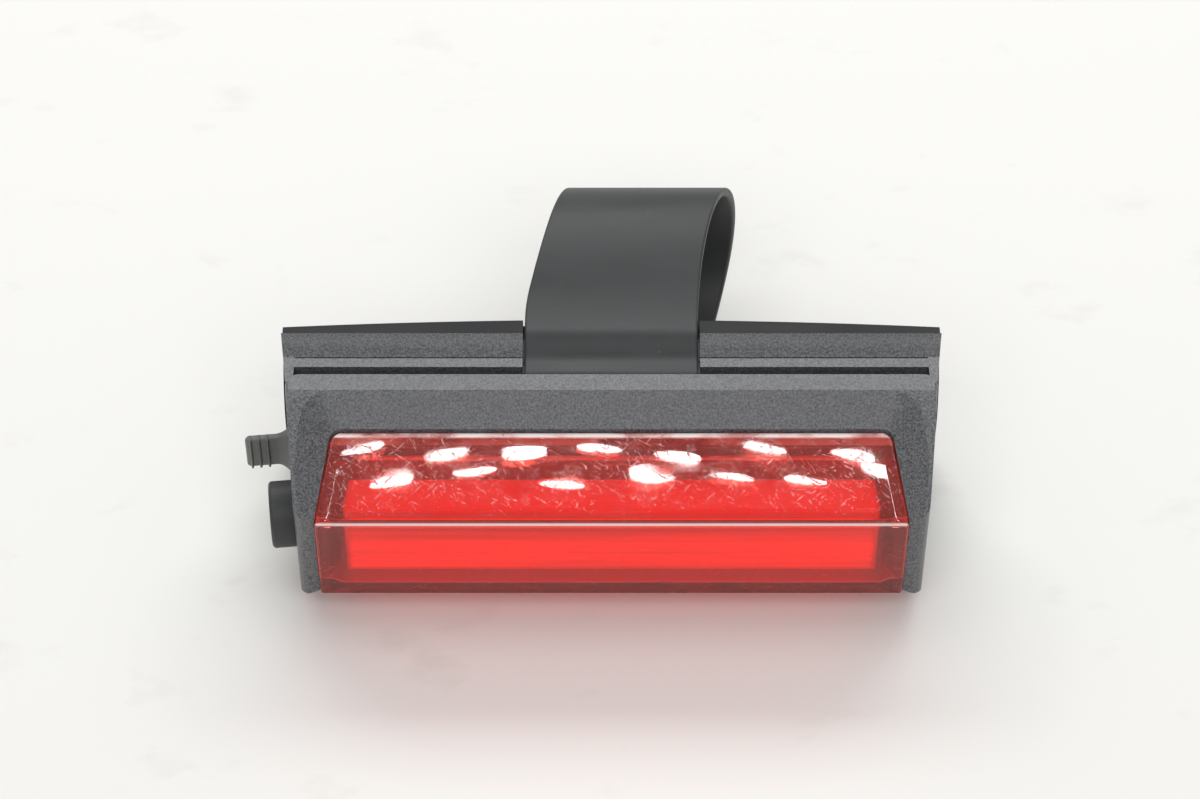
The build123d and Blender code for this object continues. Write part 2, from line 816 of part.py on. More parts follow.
# Rubber cover of the charging port: plate, shallow plug and a ribbed pull tab
with BuildPart() as usb_cover:
    with BuildSketch(cover_plane.offset(-cover_plate)):
        RectangleRounded(cover_length, 2 * cover_half_width, cover_corner)
    extrude(amount=cover_plate)
    with BuildSketch(port_plane.offset(-cover_plate)):
        RectangleRounded(
            socket_height + 2 * port_gap - 2 * plug_gap,
            2 * (socket_half_width + port_gap - plug_gap),
            (socket_height - plug_gap) / 2,
        )
    extrude(amount=-cover_plug)
    tab_centre = cover_length / 2 - tab_edge_margin - tab_thickness / 2
    with BuildSketch(cover_plane):
        with Locations((tab_centre - tab_root_flare / 2, 0)):
            Rectangle(tab_thickness + tab_root_flare, 2 * (tab_half_width + tab_root_flare))
    with BuildSketch(cover_plane.offset(tab_root_flare)):
        with Locations((tab_centre, 0)):
            Rectangle(tab_thickness, 2 * tab_half_width)
    loft()
    with BuildSketch(cover_plane.offset(tab_root_flare)):
        with Locations((tab_centre, 0)):
            Rectangle(tab_thickness, 2 * tab_half_width)
    extrude(amount=tab_length - tab_root_flare)
    fillet(usb_cover.faces().sort_by(Axis.X)[0].edges().filter_by(Axis.Z), radius=tab_corner)
    for rib in range(rib_count):
        rib_reach = tab_length - rib_margin - rib * rib_pitch
        with BuildSketch(cover_plane.offset(rib_reach)):
            with Locations((tab_centre - rib_height / 2, 0)):
                Rectangle(tab_thickness + rib_height, 2 * tab_half_width + rib_height)
        extrude(amount=-rib_width)

usb_cover.part.label = "usb_cover"

# Light board with its row of light-emitting packages
with BuildPart() as led_board:
    board_half_height = lens_height_at(board_front_y, lens_inner) - seat_gap
    block(
        (-led_board_half_length, led_board_half_length),
        (board_front_y, board_back_y),
        (-board_half_height, board_half_height),
    )
    fillet(led_board.edges().filter_by(Axis.Y), radius=board_corner)

led_board.part.label = "led_board"

with BuildPart() as led_packages:
    with BuildSketch(Plane.XZ.offset(-board_front_y)):
        with GridLocations(led_pitch, led_pitch, led_count, 1):
            Rectangle(led_length, led_height)
    extrude(amount=led_thickness)
    with BuildSketch(Plane.XZ.offset(-board_front_y + led_thickness)):
        with GridLocations(led_pitch, led_pitch, led_count, 1):
            Rectangle(led_length - 2 * led_rim, led_height - 2 * led_rim)
    extrude(amount=-led_rim, mode=Mode.SUBTRACT)

led_packages.part.label = "led_packages"

# Reflector tray with a window over each package
tray_front_y = front_y + tray_front_depth
tray_floor_y = board_front_y - tray_wall
tray_top = lens_height_at(tray_front_y, lens_inner) - seat_gap
tray_mouth = tray_top - tray_wall
with BuildPart() as reflector_tray:
    with BuildSketch(Plane.YZ):
        Polygon(
            *both_sides([(tray_front_y, tray_top), (board_front_y, tray_floor_half + tray_wall)]),
            align=None,
        )
    extrude(amount=tray_half_length, both=True)
    with BuildSketch(Plane.YZ):
        Polygon(*both_sides([(tray_front_y, tray_mouth), (tray_floor_y, tray_floor_half)]), align=None)
    extrude(amount=tray_half_length - tray_wall, both=True, mode=Mode.SUBTRACT)
    with BuildSketch(Plane.XZ.offset(-board_front_y)):
        with GridLocations(led_pitch, led_pitch, led_count, 1):
            Rectangle(led_length + 2 * led_window_gap, led_height + 2 * led_window_gap)
    extrude(amount=tray_wall, mode=Mode.SUBTRACT)

reflector_tray.part.label = "reflector_tray"

# Light guide: a bar with a crowned front and one groove along it, wedged in the tray's walls
tray_taper = (tray_mouth - tray_floor_half) / (tray_floor_y - tray_front_y)
guide_back_y = tray_front_y + (tray_mouth - guide_half_height) / tray_taper - seat_gap
guide_front_y = guide_back_y - guide_depth
guide_half_length = tray_half_length - tray_wall - seat_gap
with BuildPart() as light_guide:
    with BuildSketch(Plane.YZ):
        with BuildLine():
            ThreePointArc(
                (guide_front_y + guide_crown, guide_half_height),
                (guide_front_y, 0),
                (guide_front_y + guide_crown, -guide_half_height),
            )
            Polyline(
                (guide_front_y + guide_crown, -guide_half_height),
                (guide_back_y, -guide_half_height),
                (guide_back_y, guide_half_height),
                (guide_front_y + guide_crown, guide_half_height),
            )
        make_face()
        with Locations((guide_front_y, -guide_groove_drop)):
            Circle(guide_groove / 2, mode=Mode.SUBTRACT)
    extrude(amount=guide_half_length, both=True)

light_guide.part.label = "light_guide"

# Aluminium plate behind the light board
with BuildPart() as heat_spreader:
    spreader_half_height = lens_height_at(board_back_y, lens_inner) - seat_gap
    with BuildSketch(Plane.XZ.offset(-board_back_y)):
        Rectangle(2 * spreader_half_length, 2 * spreader_half_height)
        with Locations((-spreader_half_length / 2, 0), (spreader_half_length / 2, 0)):
            SlotOverall(spreader_slot_length, spreader_slot_width, mode=Mode.SUBTRACT)
    extrude(amount=-spreader_thickness)

heat_spreader.part.label = "heat_spreader"

# Chassis that carries the battery and the main board
chassis_half_height = lens_height_at(spreader_back_y, lens_inner) - seat_gap
battery_half_height = chassis_half_height - chassis_wall - battery_gap
battery_right_x = chassis_half_length - chassis_wall - battery_end_margin
battery_left_x = battery_right_x - battery_length
board_left_x = -(inner_half_length - main_board_margin)
board_right_x = battery_left_x - main_board_tail
main_board_y = port_y + socket_height / 2
with BuildPart() as inner_chassis:
    block(
        (-chassis_half_length, chassis_half_length),
        (spreader_back_y, chassis_floor_y),
        (-chassis_half_height, chassis_half_height),
    )
    block(
        (battery_left_x, chassis_half_length),
        (chassis_floor_y, bezel_back_y - chassis_reach),
        (-chassis_half_height, chassis_half_height),
    )
    block(
        (battery_left_x, chassis_half_length - chassis_wall),
        (chassis_floor_y, bezel_back_y),
        (-battery_half_height - battery_gap, battery_half_height + battery_gap),
        Mode.SUBTRACT,
    )
    post_z = main_board_half_width - post_inset
    post_places = [(-chassis_half_length + post_inset, -post_z), (board_right_x - post_inset, post_z)]
    with BuildSketch(Plane.XZ.offset(-main_board_y)):
        with Locations(*post_places):
            Circle(post_boss_radius)
    extrude(amount=main_board_y - chassis_floor_y)
    with BuildSketch(Plane.XZ.offset(-main_board_y)):
        with Locations(*post_places):
            Circle(board_screw_radius)
    extrude(amount=board_screw_length, mode=Mode.SUBTRACT)

inner_chassis.part.label = "inner_chassis"

# Pouch cell
with BuildPart() as battery_cell:
    battery_front_y = chassis_floor_y + seat_gap / 2
    battery_back_y = battery_front_y + battery_thickness
    block(
        (battery_left_x, battery_right_x),
        (battery_front_y, battery_back_y),
        (-battery_half_height, battery_half_height),
    )
    fillet(battery_cell.edges().filter_by(Axis.X), radius=battery_corner)

battery_cell.part.label = "battery_cell"

# Foam that presses the cell on to the chassis
with BuildPart() as battery_foam:
    foam_back_y = -(saddle_radius + housing_wall)
    foam_half_length = battery_length * foam_length_share / 2
    foam_x = (battery_left_x + battery_right_x) / 2
    block(
        (foam_x - foam_half_length, foam_x + foam_half_length),
        (battery_back_y, foam_back_y),
        (-foam_half_height, foam_half_height),
    )

battery_foam.part.label = "battery_foam"

# Main board, screwed on the chassis's posts
main_board_back_y = main_board_y + main_board_thickness
with BuildPart() as main_board:
    with BuildSketch(Plane.XZ.offset(-main_board_y)):
        with Locations(((board_left_x + board_right_x) / 2, 0)):
            Rectangle(board_right_x - board_left_x, 2 * main_board_half_width)
        with Locations(*post_places):
            Circle(board_screw_radius + pin_gap, mode=Mode.SUBTRACT)
    extrude(amount=-main_board_thickness)

main_board.part.label = "main_board"

# Chips, coil and connectors, each standing on one face of the main board
with BuildPart() as board_components:
    board_run = board_right_x - board_left_x
    for along_share, across_share, *size_shares in component_shares:
        x = board_left_x + along_share * board_run
        z = across_share * main_board_half_width
        length, width, height = [share * main_board_half_width for share in size_shares]
        face_y = main_board_y if height > 0 else main_board_back_y
        block(
            (x - length / 2, x + length / 2),
            sorted((face_y, face_y - height)),
            (z - width / 2, z + width / 2),
        )

board_components.part.label = "board_components"

with BuildPart() as board_screws:
    with BuildSketch(Plane.XZ.offset(-main_board_back_y)):
        with Locations(*post_places):
            Circle(board_screw_head_radius)
    extrude(amount=-board_screw_head_height)
    with BuildSketch(Plane.XZ.offset(-main_board_back_y)):
        with Locations(*post_places):
            Circle(board_screw_radius - pin_gap)
    extrude(amount=board_screw_length)

board_screws.part.label = "board_screws"

# Charging socket: folded steel shell and its contact tongue
socket_mouth_x = -(inner_half_length + socket_mouth)
with BuildPart() as usb_socket_shell:
    with BuildSketch(Plane.YZ.offset(socket_mouth_x)):
        with Locations((port_y, 0)):
            RectangleRounded(socket_height, 2 * socket_half_width, socket_height / 2 - socket_wall)
    extrude(amount=socket_length)
    with BuildSketch(Plane.YZ.offset(socket_mouth_x)):
        with Locations((port_y, 0)):
            RectangleRounded(
                socket_height - 2 * socket_wall,
                2 * (socket_half_width - socket_wall),
                socket_height / 2 - 2 * socket_wall,
            )
    extrude(amount=socket_length - socket_wall, mode=Mode.SUBTRACT)

usb_socket_shell.part.label = "usb_socket_shell"

with BuildPart() as usb_socket_tongue:
    tongue_back_x = socket_mouth_x + socket_length - socket_wall
    block(
        (tongue_back_x - tongue_length, tongue_back_x),
        (port_y - tongue_thickness / 2, port_y + tongue_thickness / 2),
        (-tongue_half_width, tongue_half_width),
    )
    fillet(usb_socket_tongue.edges().filter_by(Axis.Y).group_by(Axis.X)[0], radius=tongue_thickness)

usb_socket_tongue.part.label = "usb_socket_tongue"

# Two leads from the cell to the main board
with BuildPart() as battery_leads:
    lead_y = chassis_floor_y + battery_thickness / 2
    for z_side in (1, -1):
        lead_z = z_side * lead_spacing / 2
        with BuildLine() as lead_path:
            Polyline(
                (battery_left_x, lead_y, lead_z),
                (board_right_x - lead_landing, lead_y, lead_z),
                (board_right_x - lead_landing, main_board_y, lead_z),
            )
        with BuildSketch(Plane(origin=(battery_left_x, lead_y, lead_z), z_dir=(-1, 0, 0))):
            Circle(lead_radius)
        sweep(path=lead_path.line, transition=Transition.RIGHT)

battery_leads.part.label = "battery_leads"

# Screws that hold the housing to the bezel, under the pad
with BuildPart() as housing_screws:
    screw_seat_y = bezel_back_y + screw_seat_depth
    with BuildSketch(Plane.XZ.offset(-screw_seat_y)):
        with Locations(*screw_places):
            Circle(screw_head_radius)
    extrude(amount=-screw_head_height)
    with BuildSketch(Plane.XZ.offset(-screw_seat_y)):
        with Locations(*screw_places):
            Circle(screw_radius - pin_gap)
    extrude(amount=screw_grip)
    with BuildSketch(Plane.XZ.offset(-(screw_seat_y + screw_head_height))):
        with Locations(*screw_places):
            Rectangle(2 * screw_head_radius - driver_slot, driver_slot)
            Rectangle(driver_slot, 2 * screw_head_radius - driver_slot)
    extrude(amount=screw_head_height * driver_depth_share, mode=Mode.SUBTRACT)

housing_screws.part.label = "housing_screws"

os.makedirs("parts", exist_ok=True)
pieces = (
    front_bezel,
    lens,
    light_guide,
    reflector_tray,
    led_board,
    led_packages,
    heat_spreader,
    inner_chassis,
    battery_cell,
    battery_foam,
    battery_leads,
    main_board,
    board_components,
    board_screws,
    usb_socket_shell,
    usb_socket_tongue,
    switch_body,
    switch_plunger,
    power_button,
    usb_cover,
    rear_seal,
    rear_housing,
    housing_screws,
    mount_pad,
    strap,
    strap_free_end,
    strap_anchor_pin,
)
for piece in pieces:
    export_step(piece.part, f"parts/{piece.part.label}.step")

cover_hinge = cover_plane.from_local_coords((-cover_length / 2, 0, 0))
print("strap release axis", loop_y, loop_top)
print("cover hinge", cover_hinge.X, cover_hinge.Y)
print("button direction", button_plane.z_dir * -1)
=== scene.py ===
from functools import partial
from math import atan2, cos, pi, radians, sin, sqrt, tan

import bpy
import numpy as np
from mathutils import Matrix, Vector


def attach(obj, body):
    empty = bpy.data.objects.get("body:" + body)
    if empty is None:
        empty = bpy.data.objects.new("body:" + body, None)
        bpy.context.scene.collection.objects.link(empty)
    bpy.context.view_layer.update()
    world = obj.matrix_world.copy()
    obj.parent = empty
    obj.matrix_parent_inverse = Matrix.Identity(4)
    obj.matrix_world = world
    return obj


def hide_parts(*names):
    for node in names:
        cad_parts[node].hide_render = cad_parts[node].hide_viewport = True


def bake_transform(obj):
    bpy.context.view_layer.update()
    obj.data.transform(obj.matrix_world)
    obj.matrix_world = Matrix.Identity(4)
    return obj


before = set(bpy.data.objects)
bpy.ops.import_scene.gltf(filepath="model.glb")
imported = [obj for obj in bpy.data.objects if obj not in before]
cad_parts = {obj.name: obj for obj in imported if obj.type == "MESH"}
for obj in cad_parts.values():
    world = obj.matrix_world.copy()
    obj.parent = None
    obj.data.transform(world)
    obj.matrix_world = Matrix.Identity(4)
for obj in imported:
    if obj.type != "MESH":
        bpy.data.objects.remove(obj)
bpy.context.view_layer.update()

# Stations along Y and heights along Z, as in the part's source, in millimetres
FRONT = -41.5
BEZEL_BACK = -16.8
LENS_FRONT = FRONT - 0.65
LENS_BACK = -25.5
LEDGE_BACK = -11.6
HOUSING_BACK = -8.5
LENS_CREASE = 8.35
LENS_TOP = 11.05
HALF_HEIGHT = 15.2
LEDGE_HEIGHT = 13.0
LENS_SLOPE = atan2(LENS_TOP - LENS_CREASE, LENS_BACK - LENS_FRONT)
HALF_LENGTH = 50.85
END_LEAN = 2.65 / 24.7
FLANGE_TAIL = 1.2
LOOP_BACK = 31.0
POST_RADIUS = 13.6
BUTTON_Y = -32.6
COVER_Y = -22.4
PORT_Y = -22.6

# The share of the lens's front face, and of its sloping face, that the crease's rounding takes up
FOLD_NEAR, FOLD_FAR = 0.065, 0.034


# Mesh helpers

def linear(code):
    """An sRGB hex colour as linear red, green, blue and alpha."""
    values = [int(code[i:i + 2], 16) / 255 for i in (1, 3, 5)]
    return tuple(v / 12.92 if v <= 0.04045 else ((v + 0.055) / 1.055) ** 2.4 for v in values) + (1.0,)


def quads(rows, columns, round_rows=False, round_columns=False):
    """Quads between neighbouring points of a grid, joined end to end where a direction is round."""
    i, j = np.meshgrid(
        np.arange(rows if round_rows else rows - 1),
        np.arange(columns if round_columns else columns - 1),
        indexing="ij",
    )
    next_i, next_j = (i + 1) % rows, (j + 1) % columns
    corners = (i * columns + j, next_i * columns + j, next_i * columns + next_j, i * columns + next_j)
    return np.stack(corners, -1).reshape(-1, 4)


def closed_tube(rings, flat_ends=False):
    """Vertices and faces of a stack of closed rings. Each end is closed by a fan to its ring's centre, or by
    one flat polygon along its ring where the outline is hollow."""
    count, around = rings.shape[:2]
    j = np.arange(around)
    base = (count - 1) * around
    sides = quads(count, around, round_columns=True).tolist()
    if flat_ends:
        return rings.reshape(-1, 3), sides + [j[::-1].tolist(), (base + j).tolist()]
    points = np.concatenate([rings.reshape(-1, 3), rings[[0, -1]].mean(1)])
    first = np.stack([np.full(around, count * around), (j + 1) % around, j], -1)
    last = np.stack([np.full(around, count * around + 1), base + j, base + (j + 1) % around], -1)
    return points, sides + first.tolist() + last.tolist()


def outward(points, faces):
    """The faces, turned over together if the volume that they enclose comes out negative."""
    triangles = np.array([(f[0], f[k], f[k + 1]) for f in faces for k in range(1, len(f) - 1)])
    a, b, c = (points[triangles[:, k]] for k in range(3))
    volume = np.einsum("ij,ij->", a, np.cross(b, c))
    return faces if volume > 0 else [f[::-1] for f in faces]


def make_piece(name, shells, material, sharp=40):
    """One object from closed shells given in millimetres, smooth but for edges sharper than an angle."""
    all_points, all_faces, start = [], [], 0
    for points, faces in shells:
        all_faces += [[start + k for k in f] for f in outward(points, faces)]
        all_points.append(points)
        start += len(points)
    mesh = bpy.data.meshes.new(name)
    mesh.from_pydata((np.concatenate(all_points) / 1000).tolist(), [], all_faces)
    mesh.polygons.foreach_set("use_smooth", [True] * len(mesh.polygons))
    mesh.set_sharp_from_angle(angle=radians(sharp))
    mesh.materials.append(material)
    piece = bpy.data.objects.new(name, mesh)
    bpy.context.scene.collection.objects.link(piece)
    return piece


def rounded_ring(half_a, half_b, radius, per_corner=6):
    """Points round a rectangle with rounded corners: four quarter circles, one after the other."""
    turn = np.linspace(0, pi / 2, per_corner)
    angles = np.concatenate([turn + k * pi / 2 for k in range(4)])
    side_a = np.repeat([1, -1, -1, 1], per_corner) * (half_a - radius)
    side_b = np.repeat([1, 1, -1, -1], per_corner) * (half_b - radius)
    return np.stack([side_a + radius * np.cos(angles), side_b + radius * np.sin(angles)], -1)


def resample(points, step):
    """Points at an even step along a polyline."""
    lengths = np.concatenate([[0], np.cumsum(np.linalg.norm(np.diff(points, axis=0), axis=1))])
    at = np.linspace(0, lengths[-1], int(lengths[-1] / step) + 1)
    return np.stack([np.interp(at, lengths, points[:, k]) for k in range(points.shape[1])], -1)


def soften(points, reach):
    """Each point replaced by the mean of its neighbours within a reach, the ends kept."""
    padded = np.concatenate([np.repeat(points[:1], reach, 0), points, np.repeat(points[-1:], reach, 0)])
    kernel = np.hanning(2 * reach + 3)[1:-1]
    kernel /= kernel.sum()
    out = np.stack([np.convolve(padded[:, k], kernel, "valid") for k in range(points.shape[1])], -1)
    out[[0, -1]] = points[[0, -1]]
    return out


# Material helpers

def feed(tree, node, inputs):
    """Each input of a node, by number or name, fed by a socket or a value."""
    for name, source in inputs.items():
        if isinstance(source, bpy.types.NodeSocket):
            tree.links.new(source, node.inputs[name])
        else:
            node.inputs[name].default_value = source


def add_node(tree, kind, inputs, output=0, **settings):
    """One of the outputs, by number or name, of a new node with its settings and with its inputs fed."""
    node = tree.nodes.new("ShaderNode" + kind)
    for key, value in settings.items():
        setattr(node, key, value)
    feed(tree, node, inputs)
    return node.outputs[output]


def new_material(name):
    """A node material, with one function that adds a node to it and one that feeds its Principled shader."""
    material = bpy.data.materials.new(name)
    material.use_nodes = True
    tree = material.node_tree
    return material, partial(add_node, tree), partial(feed, tree, tree.nodes["Principled BSDF"])


def place(add, stretch=(1, 1, 1), turn=0.0):
    """Object coordinates in millimetres, turned about Z by an angle, then stretched along each direction."""
    where = add("TexCoord", {}, "Object")
    turned = add("VectorRotate", {"Vector": where, "Angle": turn}, rotation_type="Z_AXIS")
    return add("Mapping", {0: turned, "Scale": [1000 * s for s in stretch]})


# Materials. Sizes of patterns and depths of relief are in millimetres, and a texture's Scale is one over its
# size. A MapRange takes 1 and 2 to 3 and 4, or to 0 and 1, and a Mix goes from the colour 6 to the colour 7.

def moulded(name, dark, light, roughness, grain, relief):
    """A moulded surface: two close tones in soft patches, an even grain as relief, a little uneven gloss.
    A real mould's grain is under 0.1 mm; it is drawn at the grain given, so that it shows."""
    material, add, surface = new_material(name)
    grains = add("TexNoise", {"Vector": place(add), "Scale": 1 / grain, "Detail": 2.0, "Roughness": 0.5})
    broad = add("TexNoise", {"Vector": place(add), "Scale": 1 / 14.0, "Detail": 4.0, "Roughness": 0.5})
    half_grains = add("Math", {0: grains, 1: 0.5}, operation="MULTIPLY")
    half_broad = add("Math", {0: broad, 1: 0.5}, operation="MULTIPLY")
    mean = add("Math", {0: half_grains, 1: half_broad}, operation="ADD")
    tone = add("MapRange", {0: mean, 1: 0.35, 2: 0.65})
    surface({
        "Base Color": add("Mix", {0: tone, 6: linear(dark), 7: linear(light)}, 2, data_type="RGBA"),
        "Roughness": add("MapRange", {0: broad, 1: 0.3, 2: 0.7, 3: roughness - 0.05, 4: roughness + 0.05}),
        "Normal": add("Bump", {"Height": grains, "Distance": relief / 1000}),
        "IOR": 1.5,
    })
    return material


def worked_metal(name, dark, light, roughness, stretch, grain):
    """A rolled, drawn or plated metal: a grain drawn out one way, in its tone, its gloss and its relief.
    Real rolling and drawing lines are under 0.1 mm apart; they are drawn coarser, so that they show."""
    material, add, surface = new_material(name)
    drawn = place(add, stretch)
    lines = add("TexNoise", {"Vector": drawn, "Scale": 1 / grain, "Detail": 3.0, "Roughness": 0.5})
    tone = add("MapRange", {0: lines, 1: 0.3, 2: 0.7})
    surface({
        "Base Color": add("Mix", {0: tone, 6: linear(dark), 7: linear(light)}, 2, data_type="RGBA"),
        "Roughness": add("MapRange", {0: lines, 1: 0.3, 2: 0.7, 3: roughness - 0.08, 4: roughness + 0.08}),
        "Normal": add("Bump", {"Height": lines, "Distance": 0.01 / 1000}),
        "Metallic": 1.0,
    })
    return material


def spark_textured_polycarbonate():
    """Glass-filled polycarbonate from a spark-eroded mould: a matt grain whose tips carry painted glints,
    lighter spots in the base colour, with fine pale scuffs where it has been handled. The real grain is about
    0.1 mm; it is drawn at 0.32 mm, so that it shows."""
    material, add, surface = new_material("spark_textured_polycarbonate")
    grains = add("TexNoise", {"Vector": place(add), "Scale": 1 / 0.32, "Detail": 2.0, "Roughness": 0.6})
    cells = add("TexVoronoi", {"Vector": place(add), "Scale": 1 / 0.55}, "Distance")
    tips = add("MapRange", {0: cells, 1: 0.0, 2: 0.28, 3: 1.0, 4: 0.0})
    broad = add("TexNoise", {"Vector": place(add), "Scale": 1 / 11.0, "Detail": 4.0, "Roughness": 0.5})
    tone = add("MapRange", {0: grains, 1: 0.34, 2: 0.66})
    base = add("Mix", {0: tone, 6: linear("#343538"), 7: linear("#707174")}, 2, data_type="RGBA")

    # Scuffs: thin streaks, only in some broad patches
    streaked = place(add, (0.35, 1, 1.4))
    streaks = add("TexNoise", {"Vector": streaked, "Scale": 1 / 1.1, "Detail": 5.0, "Roughness": 0.7})
    streaks = add("MapRange", {0: streaks, 1: 0.63, 2: 0.74})
    handled = add("MapRange", {0: broad, 1: 0.5, 2: 0.66, 3: 0.0, 4: 0.5})
    scuffs = add("Math", {0: streaks, 1: handled}, operation="MULTIPLY")

    # Painted glints: the tips of the grain, in scattered groups, made lighter in the base colour
    groups = add("TexNoise", {"Vector": place(add), "Scale": 1 / 0.9, "Detail": 2.0, "Roughness": 0.5})
    groups = add("MapRange", {0: groups, 1: 0.48, 2: 0.66, 3: 0.0, 4: 0.6})
    painted_glints = add("Math", {0: tips, 1: groups}, operation="MULTIPLY")
    base_with_painted_glints = add("Mix", {0: painted_glints, 6: base, 7: linear("#9a9b9e")}, 2, data_type="RGBA")
    low_tips = add("Math", {0: tips, 1: 0.35}, operation="MULTIPLY")
    surface({
        "Base Color": add("Mix", {0: scuffs, 6: base_with_painted_glints, 7: linear("#8d8c8a")}, 2, data_type="RGBA"),
        "Roughness": add("MapRange", {0: grains, 1: 0.3, 2: 0.7, 3: 0.28, 4: 0.4}),
        "Normal": add("Bump", {
            "Height": add("Math", {0: grains, 1: low_tips}, operation="ADD"),
            "Distance": 0.06 / 1000}),
        "IOR": 1.585,
    })
    return material


def tinted_lens_polycarbonate():
    """Clear polycarbonate tinted red right through, polished in the mould: deep colour and sharp reflections.
    Handling has left hairline scratches on its sloping faces, and a painted highlight runs pale along the
    fold and the back edge.
    The real hairlines are about 0.03 mm wide; they are drawn at up to 0.2 mm, so that they show."""
    material, add, surface = new_material("tinted_lens_polycarbonate")
    axes = add("SeparateXYZ", {0: place(add)}).node.outputs

    # Hairlines at three angles, only on smudged patches of the sloping faces
    hairs = []
    for turn in (0.55, 1.15, 2.3):
        drawn = place(add, (0.11, 1.5, 1.0), turn)
        lines = add("TexNoise", {"Vector": drawn, "Scale": 1 / 0.42, "Detail": 2.0, "Roughness": 0.5})
        hairs.append(add("MapRange", {0: lines, 1: 0.64, 2: 0.72}))
    two_ways = add("Math", {0: hairs[0], 1: hairs[1]}, operation="MAXIMUM")
    all_hairs = add("Math", {0: two_ways, 1: hairs[2]}, operation="MAXIMUM")
    patches = add("TexNoise", {"Vector": place(add), "Scale": 1 / 9.0, "Detail": 4.0, "Roughness": 0.5})
    patches = add("MapRange", {0: patches, 1: 0.32, 2: 0.54})
    on_slope = add("MapRange", {0: axes[1], 1: LENS_FRONT + 0.2, 2: LENS_FRONT + 5.0, 3: 0.1, 4: 1.0})
    smudged = add("Math", {0: patches, 1: on_slope}, operation="MULTIPLY")
    scratches = add("Math", {0: all_hairs, 1: smudged}, operation="MULTIPLY")

    # Painted highlights: a pale line all along both folds, and broken along the back edge
    height_above = add("Math", {0: axes[2], 1: 0.0}, operation="ABSOLUTE")
    section = add("CombineXYZ", {1: axes[1], 2: height_above})
    fold_line = (0, LENS_FRONT + 0.12, LENS_CREASE - 0.1)
    from_fold = add("VectorMath", {0: section, 1: fold_line}, "Value", operation="DISTANCE")
    fold_highlight = add("MapRange", {0: from_fold, 1: 0.14, 2: 0.34, 3: 0.9, 4: 0.0})
    back_edge = add("MapRange", {0: axes[1], 1: LENS_BACK - 1.35, 2: LENS_BACK - 0.95})
    drawn = place(add, (0.6, 1, 1))
    breaks = add("TexNoise", {"Vector": drawn, "Scale": 1 / 6.0, "Detail": 5.0, "Roughness": 0.6})
    breaks = add("MapRange", {0: breaks, 1: 0.34, 2: 0.54, 3: 0.15, 4: 1.0})
    back_edge_highlight = add("Math", {0: back_edge, 1: breaks}, operation="MULTIPLY")
    painted_highlights = add("Math", {0: fold_highlight, 1: back_edge_highlight}, operation="MAXIMUM")

    # Scratched places, and the painted highlights, are paler, let less light through and are less glossy
    faint_scratches = add("Math", {0: scratches, 1: 0.42}, operation="MULTIPLY")
    faint_smudges = add("Math", {0: smudged, 1: 0.05}, operation="MULTIPLY")
    pale = add("Math", {0: painted_highlights, 1: faint_scratches}, operation="MAXIMUM")
    pale = add("Math", {0: pale, 1: faint_smudges}, operation="MAXIMUM")
    dulled = add("Math", {0: smudged, 1: 0.03}, operation="MULTIPLY")
    dulled = add("Math", {0: painted_highlights, 1: dulled}, operation="MAXIMUM")
    dulled = add("Math", {0: dulled, 1: scratches}, operation="MAXIMUM")
    waved = place(add, (1.0, 2.6, 2.6))
    waves = add("TexNoise", {"Vector": waved, "Scale": 1 / 16.0, "Detail": 1.0, "Roughness": 0.5})
    grooves = add("Math", {0: scratches, 1: -0.15}, operation="MULTIPLY")
    surface({
        "Base Color": add("Mix", {0: pale, 6: linear("#ff6354"), 7: linear("#fff0ec")}, 2, data_type="RGBA"),
        "Transmission Weight": add("MapRange", {0: pale, 1: 0.0, 2: 1.0, 3: 0.9, 4: 0.1}),
        "Roughness": add("MapRange", {0: dulled, 1: 0.0, 2: 1.0, 3: 0.005, 4: 0.4}),
        "Normal": add("Bump", {
            "Height": add("Math", {0: grooves, 1: waves}, operation="ADD"),
            "Distance": 0.008 / 1000}),
        "IOR": 1.585,
    })

    # Shadow rays pass through tinted, so that the lamps light what lies behind the lens
    nodes = material.node_tree.nodes
    passing = add("BsdfTransparent", {"Color": linear("#b06055")})
    shadow_ray = add("LightPath", {}, "Is Shadow Ray")
    lit_inside = add("MixShader", {0: shadow_ray, 1: nodes["Principled BSDF"].outputs[0], 2: passing})
    feed(material.node_tree, nodes["Material Output"], {"Surface": lit_inside})
    return material


def red_acrylic_painted_glow():
    """Cast red acrylic with a painted glow: an orange-red emission, with a lighter base colour to match,
    stands for light let in through the lens; it is strongest along its middle, with faint streaks drawn out
    along the bar."""
    material, add, surface = new_material("red_acrylic_painted_glow")
    axes = add("SeparateXYZ", {0: place(add)}).node.outputs
    drawn = place(add, (0.03, 1, 1.6))
    streaks = add("TexNoise", {"Vector": drawn, "Scale": 1 / 1.5, "Detail": 4.0, "Roughness": 0.6})
    # Painted glow: dimmer towards the top and towards the ends, and streaked
    upper_fade = add("MapRange", {0: axes[2], 1: 1.2, 2: 4.4, 3: 1.0, 4: 0.3})
    from_middle = add("Math", {0: axes[0], 1: 0.0}, operation="ABSOLUTE")
    end_fade = add("MapRange", {0: from_middle, 1: 39.6, 2: 41.2, 3: 1.0, 4: 0.15})
    fades = add("Math", {0: upper_fade, 1: end_fade}, operation="MULTIPLY")
    streak_tone = add("MapRange", {0: streaks, 1: 0.34, 2: 0.62, 3: 0.62, 4: 1.1})
    painted_glow = add("Math", {0: fades, 1: streak_tone}, operation="MULTIPLY")
    surface({
        "Base Color": add("Mix", {0: painted_glow, 6: linear("#a81610"), 7: linear("#ff5a26")}, 2, data_type="RGBA"),
        "Emission Color": add(
            "Mix", {0: painted_glow, 6: linear("#60080a"), 7: linear("#ff5018")}, 2, data_type="RGBA"),
        "Normal": add("Bump", {"Height": streaks, "Distance": 0.03 / 1000}),
        "Roughness": 0.3,
        "Emission Strength": 0.7,
    })
    return material


